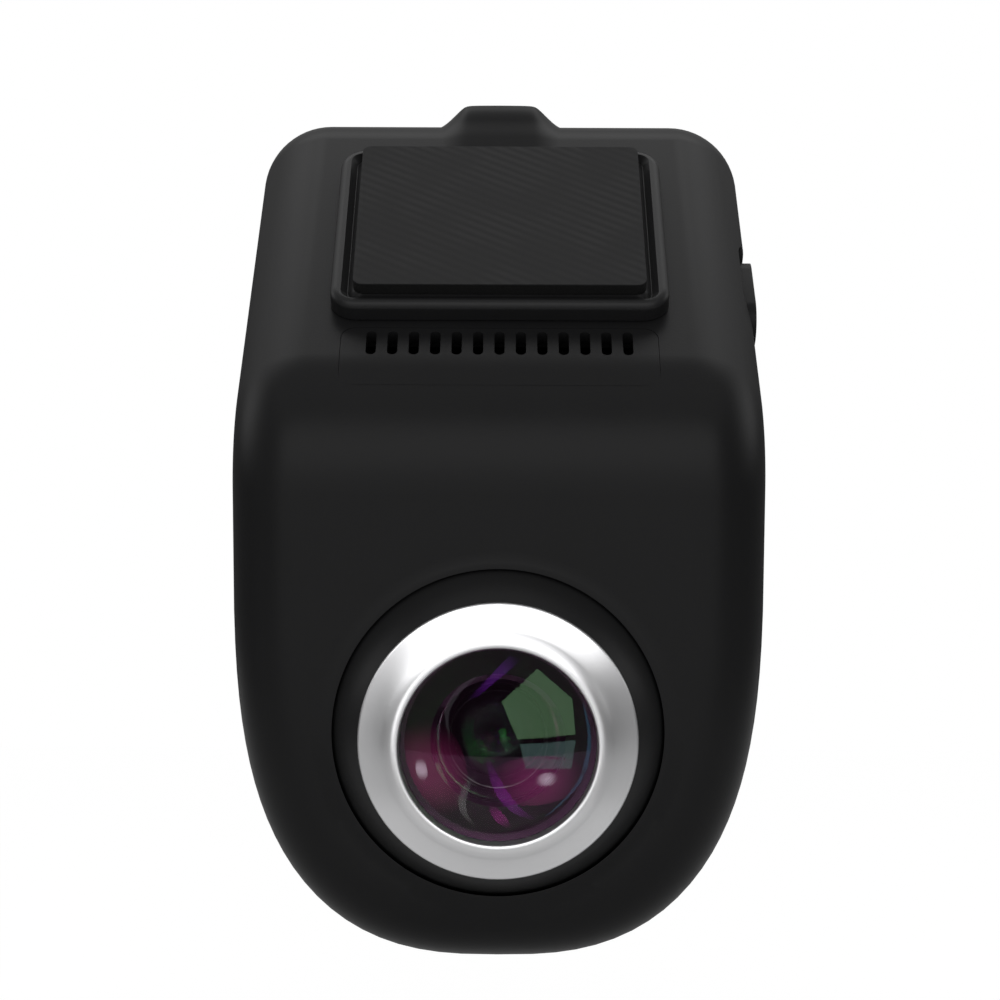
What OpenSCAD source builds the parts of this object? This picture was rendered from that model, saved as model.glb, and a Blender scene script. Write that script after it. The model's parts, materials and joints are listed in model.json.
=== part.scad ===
// Windscreen dash camera: a rounded housing with a leaning top face that slides onto a
// stick-on bracket, and a lens ball that tilts on trunnions to aim the lens.
// The shape is drawn with the front face in the plane y = 0, the lens axis along y at z = 0
// and x to the right as seen from the front. placed() then moves the origin to the film's face.

/* [Housing] */
// Width of the housing
body_w = 50; // [46:0.5:60]
// Radius of the rounding along every outer edge
corner_r = 7.2; // [6.5:0.1:8]
// Wall thickness of both housings
wall = 2; // [1.6:0.1:2.2]
// Lean of the top face, measured from the horizontal, in degrees
slant = 38; // [34:1:42]
// Length of the leaning face between the centres of its end roundings
slope_l = 38.5; // [38:0.5:44]
// Height of the front rounding's centre above the lens axis
crease_z = 26.2; // [25:0.1:32]
// Height above the lens axis where the straight sides end
flank_z = 15.9; // [10:0.1:20]
// Lowest point of the housing below the lens axis
chin_z = 22.9; // [22.6:0.1:28]
// Squareness of the rounded chin, where 2 is an ellipse
chin_power = 3.1; // [2.8:0.1:4]
// Lean of the rear face from the vertical, in degrees
rear_lean = 14; // [10:1:16]
// Depth of the lip that locates the rear housing
lip_h = 1.8; // [1:0.1:2.5]
// Thickness of that lip
lip_t = 0.9; // [0.7:0.1:1.1]
// Gap between the lip and the front housing
lip_gap = 0.12; // [0.08:0.01:0.2]

/* [Lens ball] */
// Radius of the lens ball
ball_r = 16.8; // [16.4:0.1:16.9]
// Depth of the ball's centre behind the front face
ball_back = 7.4; // [7:0.1:8]
// Gap between the ball and its socket in the front face
ball_gap = 0.35; // [0.25:0.05:0.5]
// Wall thickness of the ball
ball_wall = 1.8; // [1.4:0.1:2]
// Depth of the ball's open rear behind its centre
ball_rear = 6.6; // [6:0.1:7]
// Height of the raised flare round the socket
flare_h = 0.4; // [0.2:0.1:0.6]
// Outer radius of that flare, where it sinks into the front face
flare_r = 19; // [18:0.1:19.5]
// Depth of the flare's outer edge below the front face
flare_sink = 0.8; // [0.4:0.1:1]
// Outer radius of the bezel ring, where it meets the ball
ring_out_r = 12.7; // [12.4:0.1:13]
// Inner radius of the bezel ring
ring_in_r = 8.9; // [8.6:0.1:9.1]
// Height of the bezel ring above the ball
ring_rise = 2.7; // [2.4:0.1:3.2]
// Radius of the trunnion pins
pin_r = 1.5; // [1.2:0.1:1.8]
// Running clearance of the pins in their bushes
pin_gap = 0.05; // [0.03:0.01:0.09]
// Wall thickness of the bushes
bush_t = 1; // [0.8:0.1:1.2]
// Gap between the ball and the cradle
cradle_gap = 0.45; // [0.4:0.05:0.6]
// Radial thickness of the cradle
cradle_t = 2; // [1.8:0.1:2.1]
// Length of the cradle along the lens axis
cradle_l = 7; // [6.6:0.1:8]
// Section radius of the friction ring
friction_r = 0.8; // [0.6:0.05:0.8]

/* [Lens] */
// Outer radius of the barrel's head
head_r = 10; // [9.8:0.1:10.4]
// Length of the barrel's head
head_l = 5.9; // [5.4:0.1:6.4]
// Outer radius of the barrel's threaded tail
tail_r = 7.2; // [7.1:0.1:7.6]
// Depth of the front lens behind the bezel ring's tip
glass_set = 0.7; // [0.4:0.1:1]
// Radius of the front lens's edge
glass_r = 9.1; // [8.8:0.1:9.2]
// Radius of curvature of the front lens's outer face
glass_curve = 26; // [20:0.5:28]
// Radius of curvature of the front lens's hollow face
hollow_curve = 7.5; // [7.3:0.1:8]
// Thickness of the front lens from its tip to its rear edge
glass_h = 3.6; // [3.4:0.1:3.8]
// Thickness of the front lens at its centre
glass_mid = 1.2; // [1:0.1:1.4]
// Radius of the two middle lenses
middle_r = 6.35; // [6:0.05:6.5]
// Thickness of each middle lens
middle_t = 2.4; // [2.2:0.1:2.5]
// Radius of the rear lens
rear_r = 5.2; // [4.8:0.1:5.4]
// Thickness of the rear lens
rear_t = 2.8; // [2.4:0.1:3]
// Radius of the light stop behind the middle lenses
stop_r = 2.4; // [2:0.1:3]
// Width of the square base of the lens holder
holder_w = 17; // [16:0.5:17.5]
// Outer radius of the lens holder's neck
neck_r = 8.4; // [8.2:0.1:8.5]
// Width of the square infrared filter
filter_w = 11; // [10:0.5:12]
// Thickness of the infrared filter
filter_t = 0.5; // [0.3:0.1:0.6]
// Width of the image sensor
sensor_w = 10; // [9:0.5:11]
// Thickness of the image sensor
sensor_t = 1.1; // [0.9:0.1:1.2]
// Width of the sensor board
eye_board_w = 24.8; // [24.4:0.1:26]
// Height of the sensor board
eye_board_h = 22.8; // [22.4:0.1:23.4]
// Thickness of both circuit boards
board_t = 1.2; // [1:0.1:1.6]

/* [Mount] */
// Width of the bracket
plate_w = 32.2; // [30:0.1:34]
// Length of the bracket along the leaning face
plate_l = 25; // [24:0.1:25.2]
// Distance of the bracket's front edge from the crease
plate_s = 9; // [8.6:0.1:9.1]
// Height of the bracket's top above the leaning face
plate_h = 2.1; // [2:0.05:2.3]
// Corner radius of the bracket
plate_r = 2.2; // [1.5:0.1:3]
// Gap between the bracket and the leaning face
plate_gap = 0.15; // [0.1:0.01:0.25]
// Rounding of the bracket's top edge
plate_edge = 0.5; // [0.3:0.1:0.6]
// Width of the adhesive pad
pad_w = 27.7; // [26:0.1:28]
// Length of the adhesive pad
pad_l = 22.2; // [20:0.1:22.6]
// Thickness of the adhesive pad
pad_t = 1.1; // [0.8:0.1:1.5]
// Corner radius of the pad and its film
pad_r = 0.9; // [0.5:0.1:2]
// Thickness of the film
film_t = 0.15; // [0.1:0.01:0.2]
// Width of the slide rail at its foot
rail_w = 16.4; // [15:0.1:18]
// Height of the slide rail
rail_h = 1.2; // [1.1:0.05:1.25]
// Undercut of the slide rail on each side
rail_cut = 1; // [0.7:0.1:1.2]
// Clearance of the rail in the bracket
rail_gap = 0.1; // [0.06:0.01:0.15]
// Thickness of the closed front end of the bracket's channel
rail_stop = 2.4; // [2:0.1:3]
// Length of the slide rail
rail_l = 21; // [20:0.5:22]

/* [Vents] */
// Number of cooling slots
vent_count = 13; // [9:2:13]
// Distance between the slots
vent_pitch = 2; // [1.8:0.05:2.1]
// Width of a slot
vent_w = 0.95; // [0.7:0.05:1.1]
// Length of a slot
vent_l = 3.3; // [2.5:0.1:3.6]
// Distance of the slots' top from the panel's top edge
vent_inset = 0.5; // [0.4:0.1:1]
// Width of the vent panel
panel_w = 29.7; // [29:0.1:31]
// Length of the vent panel
panel_l = 7.6; // [6.8:0.1:7.8]
// Thickness of the vent panel
panel_t = 1.3; // [1:0.1:1.4]
// Corner radius of the vent panel
panel_r = 1.4; // [0.8:0.1:2]
// Gap round the vent panel
panel_gap = 0.12; // [0.08:0.01:0.2]
// Width of the ledge that carries the vent panel
panel_ledge = 0.4; // [0.3:0.05:0.5]

/* [Hump] */
// Width of the hump's top
hump_top_w = 7.7; // [6:0.1:9]
// Width of the hump's foot
hump_foot_w = 12.4; // [11:0.1:14]
// Height of the hump above the leaning face
hump_h = 2.2; // [1.8:0.1:3]
// Length of the hump's rising front
hump_ramp = 3.6; // [3:0.1:5]

/* [Button] */
// Length of the side button
button_l = 10.4; // [9:0.1:11]
// Width of the side button
button_w = 5.2; // [4.4:0.1:5.6]
// Height of the button above the side of the housing
button_out = 0.4; // [0.3:0.1:0.8]
// Distance of the button's centre from the crease, along the leaning face
button_s = 21.1; // [20:0.1:22]
// Depth of the button's centre below the leaning face
button_n = 7.8; // [7.6:0.1:8.4]
// Gap round the button
button_gap = 0.2; // [0.15:0.01:0.3]
// Width of the button's inner rim
button_rim = 1; // [0.7:0.1:1.1]
// Thickness of the button's inner rim
rim_t = 0.8; // [0.6:0.1:1]
// Margin of the pocket round the button
pocket_margin = 1.7; // [1:0.1:1.8]
// Depth of that pocket
pocket_d = 1; // [0.6:0.1:1.1]
// Travel of the button
button_travel = 0.5; // [0.3:0.1:0.5]
// Radius of the switch's plunger
plunger_r = 0.9; // [0.7:0.1:1]

/* [Main board] */
// Width of the main board
board_w = 40; // [39:0.5:41]
// Length of the main board along the leaning face
board_l = 35; // [34.5:0.5:35.5]
// Distance of the main board's front edge from the crease
board_s = 6.5; // [6.2:0.1:6.8]
// Depth of the main board's upper face below the leaning face
board_n = 7; // [6.8:0.1:7.2]
// Length of the memory card
card_l = 15; // [15:0.5:15]
// Width of the memory card
card_w = 11; // [11:0.5:11]
// Thickness of the memory card
card_t = 0.8; // [0.7:0.1:1]
// Distance of the card's middle from the crease, along the leaning face
card_s = 19; // [18.6:0.1:19.4]
// Gap round the card
card_gap = 0.2; // [0.15:0.01:0.25]
// Radius of each supercapacitor
cap_r = 3.5; // [3:0.1:3.6]
// Length of each supercapacitor
cap_l = 17; // [15:0.5:17.5]
// Width of the power inlet's metal shell
usb_w = 7.6; // [7.4:0.1:8]
// Height of the power inlet's metal shell
usb_h = 2.7; // [2.5:0.1:3]
// Length of the power inlet
usb_l = 5.6; // [5.2:0.1:5.8]
// Radius of the speaker
speaker_r = 9; // [8:0.1:10]
// Height of the speaker
speaker_h = 4; // [3:0.1:4.4]

/* [Fasteners] */
// Shank radius of every screw
shank_r = 0.8; // [0.7:0.05:0.9]
// Head radius of every screw
head_screw_r = 1.5; // [1.3:0.05:1.6]
// Head height of every screw
head_screw_h = 1; // [0.8:0.05:1.1]
// Radius of the screw posts in the housings
post_r = 2.3; // [2.1:0.1:2.4]
// Clearance round a screw's shank
shank_gap = 0.06; // [0.04:0.01:0.1]

/* [Hidden] */
$fn = 64;
ball_fn = 32;
outline_step = 7.5;
big = 200;
eps = 0.01;
cut_over = 1;
seam_gap = 0.05;

// The housing is every place within corner_r of this inner core, so its edges are all round.
core_x = body_w / 2 - corner_r;
core_h = flank_z + chin_z - corner_r;
top_y = corner_r + slope_l * cos(slant);
top_z = crease_z + slope_l * sin(slant);
slope_y = corner_r - corner_r * sin(slant);
slope_z = crease_z + corner_r * cos(slant);
function chin_point(t) =
    [core_x * pow(cos(t), 2 / chin_power), flank_z - core_h * pow(sin(t), 2 / chin_power)];
function rear_y(z) = top_y - (top_z - z) * tan(rear_lean);
chin = [for (t = [0 : outline_step : 90]) chin_point(t)];
core_points = [
    for (side = [-1, 1], p = chin) [side * p[0], corner_r, p[1]],
    for (side = [-1, 1], p = chin) [side * p[0], rear_y(p[1]), p[1]],
    for (side = [-1, 1]) [side * core_x, corner_r, crease_z],
    for (side = [-1, 1]) [side * core_x, top_y, top_z]];

// Along the lens axis, counted from the ball's centre, rearwards positive
seat_z = -sqrt(ball_r * ball_r - ring_out_r * ring_out_r);
tip_z = seat_z - ring_rise;
lip_z = tip_z + 1.6;
apex_z = tip_z + glass_set;
glass_z = apex_z + glass_h;
flare_edge = 0.9;
flare_in_r = ball_r - flare_edge;
flare_root = 3;
lens_gap = 0.1;
fit_gap = 0.05;
second_curve = 9;
third_curve = 10;
rear_curve = 8;
front_spacer_t = 2.2;
spacer_t = 1.4;
rear_spacer_t = 1.4;
stop_t = 0.8;
retainer_lap = 0.2;
tail_over = 2.6;
step_z = glass_z + front_spacer_t;
stop_z = step_z + 2 * middle_t + spacer_t + 2 * lens_gap;
rear_z = stop_z + stop_t;
tail_z = rear_z + rear_t + tail_over;
ledge_z = tail_z + 2 * lens_gap;
ledge_t = 0.8;
filter_z = ledge_z + ledge_t;
filter_gap = 0.5;
eye_board_z = filter_z + filter_t + filter_gap + sensor_t;
eye_post_r = 1.6;
eye_post_inset = 1.8;
eye_post = [eye_board_w / 2 - eye_post_inset, eye_board_h / 2 - eye_post_inset];
ring_seat_z = wall + friction_r + fit_gap - ball_back;
friction_ring_r = sqrt(pow(ball_r + friction_r + fit_gap, 2) - ring_seat_z * ring_seat_z);
cradle_z = ring_seat_z + friction_r + 2 * fit_gap;
cradle_r = ball_r + cradle_gap;
cradle_out_r = cradle_r + cradle_t;
bush_r = pin_r + pin_gap + bush_t;
pin_hold = 1.4;
pin_in = ball_r - ball_wall - pin_hold;
pin_out = cradle_out_r;
ear_angle = 39.3;
ear_reach = 1.7;
ear_t = 2;
collar_gap = 0.12;
collar_t = 1;
collar_h = 4;

// In the leaning face's own axes: x, s up the slope from the crease, n out of the face
plate_mid = plate_s + plate_l / 2;
pad_top = plate_h + pad_t;
film_top = pad_top + film_t;
rail_s = plate_s + rail_stop + eps;
rail_screw_x = 6;
rail_screw_inset = 2.8;
rail_boss_h = 1.2;
panel_set = 1;
panel_top = plate_s - panel_set;
hump_set = 0.4;
hump_s = plate_s + plate_l + hump_set;
board_end = board_s + board_l;
board_foot = -board_n - board_t;
board_post_inset = 3;
board_rear_inset = 4;
board_post_x = board_w / 2 - board_post_inset;
chip_w = 12;
chip_t = 1.1;
chip_inset = 1.5;
chip_s = board_s + chip_inset + chip_w / 2;
thermal_t = 0.9;
spread_side = 1.7;
spread_w = 2 * (board_post_x - post_r - spread_side);
spread_l = 17.5;
spread_t = 1.2;
spread_s = 3;
spread_n = -board_n + chip_t + thermal_t;
fin_count = 9;
fin_t = 1;
fin_l = 7;
fin_h = 1.2;
usb_set = 1.9;
usb_n = -board_n + usb_h / 2;
usb_s = board_end - usb_set;
part_gap = 0.4;
shield_size = [10, 7, 1.8];
shield_x = board_post_x - post_r - part_gap - shield_size[0] / 2;
shield_s = usb_s - part_gap - shield_size[1] / 2;
memory_size = [9, 8, 1];
memory_x = 11.5;
memory_s = shield_s - shield_size[1] / 2 - part_gap - memory_size[1] / 2;
coil_size = [4, 3.2, 2];
coil_pitch = 3.8;
switch_size = [3.6, 6, 3.2];
switch_n = board_foot - switch_size[2] / 2;
plunger_in = 0.6;
plunger_out = 1.73;
plunger_gap = 0.06;
plunger_rest = 0.02;
rim_gap = 0.15;
rim_room = 4;
rim_seat = button_rim + button_gap;
rim_x = body_w / 2 - wall - rim_gap;
switch_x = rim_x - rim_t - plunger_rest - plunger_out;
card_drop = 1.1;
card_inset = 0.4;
card_r = 0.6;
card_n = board_foot - card_drop;
card_x = -body_w / 2 + wall + card_inset;
socket_set = 1.6;
socket_back = 1;
socket_side = 1.5;
socket_l = card_l - socket_set + socket_back;
socket_w = card_w + 2 * socket_side;
socket_t = 2.1;
cap_s = 33;
cap_apart = 2;
cap_gap = 0.2;
cap_n = board_foot - cap_gap - cap_r;
usb_skin = 0.3;
usb_r = 0.6;
usb_back = 1;
usb_tongue_t = 0.6;
usb_gap = 0.3;
nose_drop = 0.6;
nose_n = board_foot - nose_drop;
nose_s = slope_l + sqrt(corner_r * corner_r - pow(corner_r + nose_n, 2));
led_side = 7;
led_x = board_w / 2 - led_side;
led_size = [1.6, 1.4, 1.2];
led_inset = 0.8;
pipe_r = 1;
pipe_gap = 0.1;
mic_hole_r = 0.5;
mic_r = 2;
mic_h = 1.6;
mic_inset = 2.2;
connector_w = 11;
connector_l = 3.4;
connector_h = 1.3;
connector_inset = 2.4;
board_plug_s = card_s - socket_w / 2 - part_gap - connector_l / 2;
eye_plug_z = eye_board_h / 2 - connector_inset;
ribbon_w = 9;
ribbon_t = 0.25;
ribbon_bow = 3.5;
ribbon_steps = 12;

// In the rear face's own axes, from its top edge down
housing_post_x = 19;
housing_post_z = 22;
post_seat_t = 3;
post_seat = rear_y(housing_post_z) + post_seat_t;
speaker_z = -32;
speaker_hole_r = 0.6;
speaker_spread = 4.2;
antenna_w = 22;
antenna_h = 6;
antenna_t = 0.2;
antenna_z = -16;
rear_rest = 0.02;
screw_short = 4;
screw_board = 4.4;
screw_rail = 2.8;
screw_long = 12;
screw_tip = 1;

function slope_point(s, n) =
    [0, slope_y + s * cos(slant) - n * sin(slant), slope_z + s * sin(slant) + n * cos(slant)];
origin = slope_point(plate_mid, film_top);

module placed() translate(-origin) children();
module on_slope() translate([0, slope_y, slope_z]) rotate([slant, 0, 0]) children();
module on_seam() translate([0, top_y, top_z]) rotate([-rear_lean, 0, 0]) children();
module lens_axis() translate([0, ball_back, 0]) rotate([-90, 0, 0]) children();
module along_y(y) translate([0, y, 0]) rotate([-90, 0, 0]) children();

// Plate outline with round corners, centred
module plate_outline(w, l, r) {
    square([w - 2 * r, l], center = true);
    square([w, l - 2 * r], center = true);
    for (x = [-1, 1], y = [-1, 1])
        translate([x * (w / 2 - r), y * (l / 2 - r)]) circle(r);
}

// Outline with half-round ends, its long way along y, centred
module pill_outline(w, l) {
    square([w, l - w], center = true);
    for (y = [-1, 1]) translate([0, y * (l - w) / 2]) circle(w / 2);
}

module tube(r_out, r_in, h) linear_extrude(h) difference() { circle(r_out); circle(r_in); }

// Pan-head screw, its head's underside at z = 0 and its shank down to z = -l
module screw(l) {
    cylinder(r = head_screw_r, h = head_screw_h);
    translate([0, 0, -l]) cylinder(r = shank_r, h = l + eps);
}

// Ball with points on all three axes, so that a hull of them has its full size
module corner_ball(r)
    rotate_extrude($fn = ball_fn)
        polygon([for (a = [-90 : 360 / ball_fn : 90]) [r * cos(a), r * sin(a)]]);

module body_solid(r) hull() for (p = core_points) translate(p) corner_ball(r);

// Everything behind the plane where the two housings part, moved back by shift
module behind_seam(shift) on_seam() translate([-big / 2, shift, -big / 2]) cube(big);

module button_axis()
    on_slope() translate([body_w / 2, button_s, -button_n]) rotate([0, 90, 0]) children();

// Mount: what stays stuck to the windscreen

module rail_section(gap) {
    foot = rail_w / 2 + gap;
    polygon([[-foot, -eps], [foot, -eps], [foot + rail_cut, rail_h + gap],
        [-foot - rail_cut, rail_h + gap]]);
}

module rail_prism(s, l, gap, n)
    translate([0, s + l, n]) rotate([90, 0, 0]) linear_extrude(l) rail_section(gap);

module mount_bracket() {
    lower_h = plate_h - plate_gap - plate_edge;
    color("#1c1c1e") placed() on_slope() difference() {
        translate([0, plate_mid, plate_gap]) {
            linear_extrude(lower_h) plate_outline(plate_w, plate_l, plate_r);
            translate([0, 0, lower_h]) linear_extrude(plate_edge)
                plate_outline(plate_w - plate_edge, plate_l - plate_edge, plate_r - plate_edge / 2);
        }
        rail_prism(plate_s + rail_stop, plate_l, rail_gap, 0);
    }
}

module adhesive_pad()
    color("#101012") placed() on_slope() translate([0, plate_mid, plate_h])
        linear_extrude(pad_t) plate_outline(pad_w, pad_l, pad_r);

module pad_film()
    color("#303032") placed() on_slope() translate([0, plate_mid, pad_top])
        linear_extrude(film_t) plate_outline(pad_w, pad_l, pad_r);

// Camera: housings and what is fixed in them

module slide_rail()
    color("#2a2a2c") placed() on_slope() difference() {
        rail_prism(rail_s, rail_l, 0, eps);
        rail_screw_places() {
            translate([0, 0, -1]) cylinder(r = shank_r + shank_gap, h = 2 * rail_h);
            translate([0, 0, rail_h - head_screw_h])
                cylinder(r = head_screw_r + shank_gap, h = 2 * head_screw_h);
        }
    }

module rail_screw_places()
    for (x = [-1, 1], s = [rail_s + rail_screw_inset, rail_s + rail_l - rail_screw_inset])
        translate([x * rail_screw_x, s, 0]) children();

module rail_screws()
    color("#b8b8bc") placed() on_slope() rail_screw_places()
        translate([0, 0, rail_h - head_screw_h]) screw(screw_rail);

module hump() {
    tip_r = 0.5;
    top_l = 4;
    rear_l = 1.2;
    foot_x = hump_foot_w / 2;
    top_x = hump_top_w / 2 - tip_r;
    top_s = hump_s + hump_ramp;
    on_slope() hull() for (x = [-1, 1], p = [[foot_x, hump_s, -tip_r], [top_x, top_s, hump_h - tip_r],
            [top_x, top_s + top_l, hump_h - 2 * tip_r], [foot_x, top_s + top_l + rear_l, -4 * tip_r]])
        translate([x * p[0], p[1], p[2]]) sphere(tip_r, $fn = 16);
}

module vent_panel_outline(grow)
    translate([0, panel_top - panel_l / 2])
        plate_outline(panel_w + 2 * grow, panel_l + 2 * grow, panel_r + grow);

module housing_post_places(y)
    for (x = [-1, 1]) translate([x * housing_post_x, 0, housing_post_z]) along_y(y) children();

module board_post_places()
    for (x = [-1, 1], s = [board_s + board_post_inset, board_end - board_rear_inset])
        translate([x * board_post_x, s, 0]) children();

module usb_tunnel()
    on_slope() translate([0, usb_s, usb_n]) rotate([-90, 0, 0])
        linear_extrude(big) plate_outline(usb_w + 2 * usb_gap, usb_h + 2 * usb_gap, usb_r + usb_gap);

module front_housing() {
    color("#1a1a1c") placed() difference() {
        union() {
            difference() {
                body_solid(corner_r);
                body_solid(corner_r - wall);
            }
            hump();
            along_y(0) rotate_extrude() polygon([[flare_in_r - flare_root, wall],
                [flare_in_r - flare_root, -flare_h], [flare_in_r, -flare_h],
                [flare_r, flare_sink], [flare_r, wall]]);
            along_y(wall - eps)
                tube(cradle_out_r + collar_gap + collar_t, cradle_out_r + collar_gap, collar_h);
            ear_places(wall - eps - ball_back) cylinder(r = post_r, h = cradle_z + ball_back - wall);
            housing_post_places(wall - eps) cylinder(r = post_r, h = big);
            on_slope() board_post_places() translate([0, 0, -board_n])
                cylinder(r = post_r, h = board_n - wall + eps);
            on_slope() rail_screw_places() translate([0, 0, -wall - rail_boss_h])
                cylinder(r = post_r, h = rail_boss_h + eps);
        }
        behind_seam(0);
        lens_axis() sphere(ball_r + ball_gap, $fn = 96);
        lens_axis() translate([0, 0, ring_seat_z - friction_r - fit_gap])
            cylinder(r = friction_ring_r + friction_r + collar_gap, h = 2 * friction_r + 3 * fit_gap);
        lens_axis() translate([0, 0, cradle_z]) cylinder(r = cradle_out_r + collar_gap, h = cradle_l);
        ear_places(cradle_z) cylinder(r = post_r + collar_gap, h = cradle_l);
        on_slope() {
            translate([0, 0, -panel_t]) linear_extrude(panel_t + cut_over) vent_panel_outline(panel_gap);
            translate([0, 0, -wall - cut_over]) linear_extrude(wall + 2 * cut_over) vent_panel_outline(-panel_ledge);
            board_post_places() translate([0, 0, -board_n - eps])
                cylinder(r = shank_r + shank_gap, h = screw_board);
            rail_screw_places() translate([0, 0, rail_h - head_screw_h - screw_rail - screw_tip / 2])
                cylinder(r = shank_r + shank_gap, h = screw_rail + screw_tip);
        }
        card_slot(-body_w, body_w / 2 + wall + 1, 2 * card_gap);
        button_axis() {
            translate([0, 0, -pocket_d]) linear_extrude(pocket_d + 2 * cut_over)
                pill_outline(button_w + 2 * pocket_margin, button_l + 2 * pocket_margin);
            translate([0, 0, -2 * wall]) linear_extrude(2 * wall)
                pill_outline(button_w + 2 * button_gap, button_l + 2 * button_gap);
            translate([0, 0, -wall - rim_room]) linear_extrude(rim_room)
                pill_outline(button_w + 2 * rim_seat, button_l + 2 * rim_seat);
        }
        ear_places(wall - screw_tip - ball_back) cylinder(r = shank_r + shank_gap, h = big / 10);
        housing_post_places(post_seat - screw_long - screw_tip) cylinder(r = shank_r + shank_gap, h = big);
        usb_tunnel();
    }
}

module rear_housing() {
    inner_r = corner_r - wall;
    lip_r = inner_r - lip_gap;
    post_end = rear_y(housing_post_z) + corner_r - wall / 2;
    color("#1a1a1c") placed() difference() {
        union() {
            difference() {
                union() {
                    intersection() {
                        body_solid(corner_r);
                        behind_seam(seam_gap);
                    }
                    intersection() {
                        body_solid(lip_r);
                        behind_seam(-lip_h);
                    }
                }
                body_solid(lip_r - lip_t);
                intersection() {
                    body_solid(inner_r);
                    behind_seam(lip_h);
                }
            }
            intersection() {
                housing_post_places(0) cylinder(r = post_r, h = post_end);
                behind_seam(seam_gap);
            }
        }
        housing_post_places(0) cylinder(r = shank_r + 3 * shank_gap, h = big);
        housing_post_places(post_seat) cylinder(r = head_screw_r + 3 * shank_gap, h = big);
        usb_tunnel();
        on_slope() translate([led_x, 0, nose_n]) along_y(0) cylinder(r = pipe_r + fit_gap, h = big);
        on_slope() translate([-led_x, 0, nose_n]) along_y(0) cylinder(r = mic_hole_r, h = big);
        on_seam() speaker_holes() cylinder(r = speaker_hole_r, h = big);
    }
}

module speaker_holes()
    translate([0, 0, speaker_z]) rotate([-90, 0, 0]) {
        children();
        for (a = [0 : 60 : 300]) rotate(a) translate([speaker_spread, 0, 0]) children();
    }

module vent_panel()
    color("#1b1b1d") placed() on_slope() difference() {
        translate([0, 0, -panel_t]) linear_extrude(panel_t) vent_panel_outline(0);
        translate([0, panel_top - vent_inset - vent_l / 2, -2 * panel_t])
            for (i = [0 : vent_count - 1])
                translate([(i - (vent_count - 1) / 2) * vent_pitch, 0, 0])
                    linear_extrude(4 * panel_t) pill_outline(vent_w, vent_l);
    }

module housing_screws()
    color("#3a3a3c") placed() housing_post_places(post_seat) screw(screw_long);

// Places of the cradle's two ears, at a depth behind the ball's centre
module ear_places(z)
    lens_axis() for (a = [-ear_angle, ear_angle - 180]) rotate(a)
        translate([cradle_out_r + ear_reach, 0, z]) children();

module lens_cradle()
    color("#3c3c40") placed() difference() {
        union() {
            lens_axis() translate([0, 0, cradle_z]) tube(cradle_out_r, cradle_r, cradle_l);
            ear_places(cradle_z) cylinder(r = post_r, h = ear_t);
        }
        lens_axis() rotate([0, 90, 0]) cylinder(r = bush_r, h = big, center = true);
        lens_axis() cylinder(r = cradle_r, h = big, center = true);
        ear_places(cradle_z - cut_over) cylinder(r = shank_r + shank_gap, h = ear_t + 2 * cut_over);
    }

module trunnion_bushes()
    color("#c9a24a") placed() lens_axis() rotate([0, 90, 0])
        for (end = [cradle_r + fit_gap, -cradle_out_r])
            translate([0, 0, end]) tube(bush_r, pin_r + pin_gap, cradle_t - fit_gap);

module cradle_screws()
    color("#b8b8bc") placed() ear_places(cradle_z + ear_t) screw(screw_short);

module friction_ring()
    color("#0c0c0d") placed() lens_axis() translate([0, 0, ring_seat_z])
        rotate_extrude() translate([friction_ring_r, 0]) circle(friction_r);

// Lens pod: everything that tilts

module eye_post_places()
    for (x = [-1, 1], y = [-1, 1]) translate([x * eye_post[0], y * eye_post[1], 0]) children();

module lens_ball() {
    boss_r = pin_r + 1.4;
    boss_end = ball_r - ball_wall / 2;
    front_t = 2.4;
    post_root = 3;
    color("#151517") placed() lens_axis() difference() {
        union() {
            difference() {
                intersection() {
                    sphere(ball_r);
                    translate([0, 0, seat_z]) cylinder(r = big, h = ball_rear - seat_z);
                }
                intersection() {
                    sphere(ball_r - ball_wall);
                    translate([0, 0, seat_z + front_t]) cylinder(r = big, h = big);
                }
            }
            eye_post_places() translate([0, 0, ball_rear - post_root])
                cylinder(r = eye_post_r, h = eye_board_z - ball_rear + post_root);
            for (end = [pin_in, -boss_end]) rotate([0, 90, 0]) translate([0, 0, end])
                cylinder(r = boss_r, h = boss_end - pin_in);
        }
        translate([0, 0, seat_z - 1]) cylinder(r = head_r, h = front_t + 2);
        rotate([0, 90, 0]) cylinder(r = pin_r, h = big, center = true);
        eye_post_places() translate([0, 0, eye_board_z - screw_board])
            cylinder(r = shank_r + shank_gap, h = screw_board + 1);
    }
}

module trunnion_pins()
    color("#c8c8cc") placed() lens_axis() rotate([0, 90, 0])
        for (end = [pin_in, -pin_out]) translate([0, 0, end]) cylinder(r = pin_r, h = pin_out - pin_in);

module bezel_ring() {
    edge_h = 0.25;
    nose_r = 0.6;
    nose_at = [ring_in_r + nose_r, tip_z + nose_r];
    nose = [for (a = [-60 : -20 : -180]) nose_at + nose_r * [cos(a), sin(a)]];
    color("#d4d4d8") placed() lens_axis() rotate_extrude() polygon(concat(
        [[ring_out_r, seat_z], [ring_out_r, seat_z - edge_h]], nose,
        [[ring_in_r, lip_z], [head_r + fit_gap, lip_z], [head_r + fit_gap, seat_z]]));
}

module lens_barrel() {
    wall_front = lip_z + fit_gap;
    color("#232326") placed() lens_axis() difference() {
        union() {
            translate([0, 0, wall_front]) cylinder(r = head_r, h = head_l);
            translate([0, 0, wall_front]) cylinder(r = tail_r, h = tail_z - wall_front);
        }
        translate([0, 0, wall_front - 1]) cylinder(r = glass_r + fit_gap, h = step_z - wall_front + 1);
        translate([0, 0, step_z - 1]) cylinder(r = middle_r + fit_gap, h = stop_z - step_z + 1);
        cylinder(r = stop_r, h = big, center = true);
        translate([0, 0, rear_z]) cylinder(r = rear_r + fit_gap, h = big);
    }
}

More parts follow.
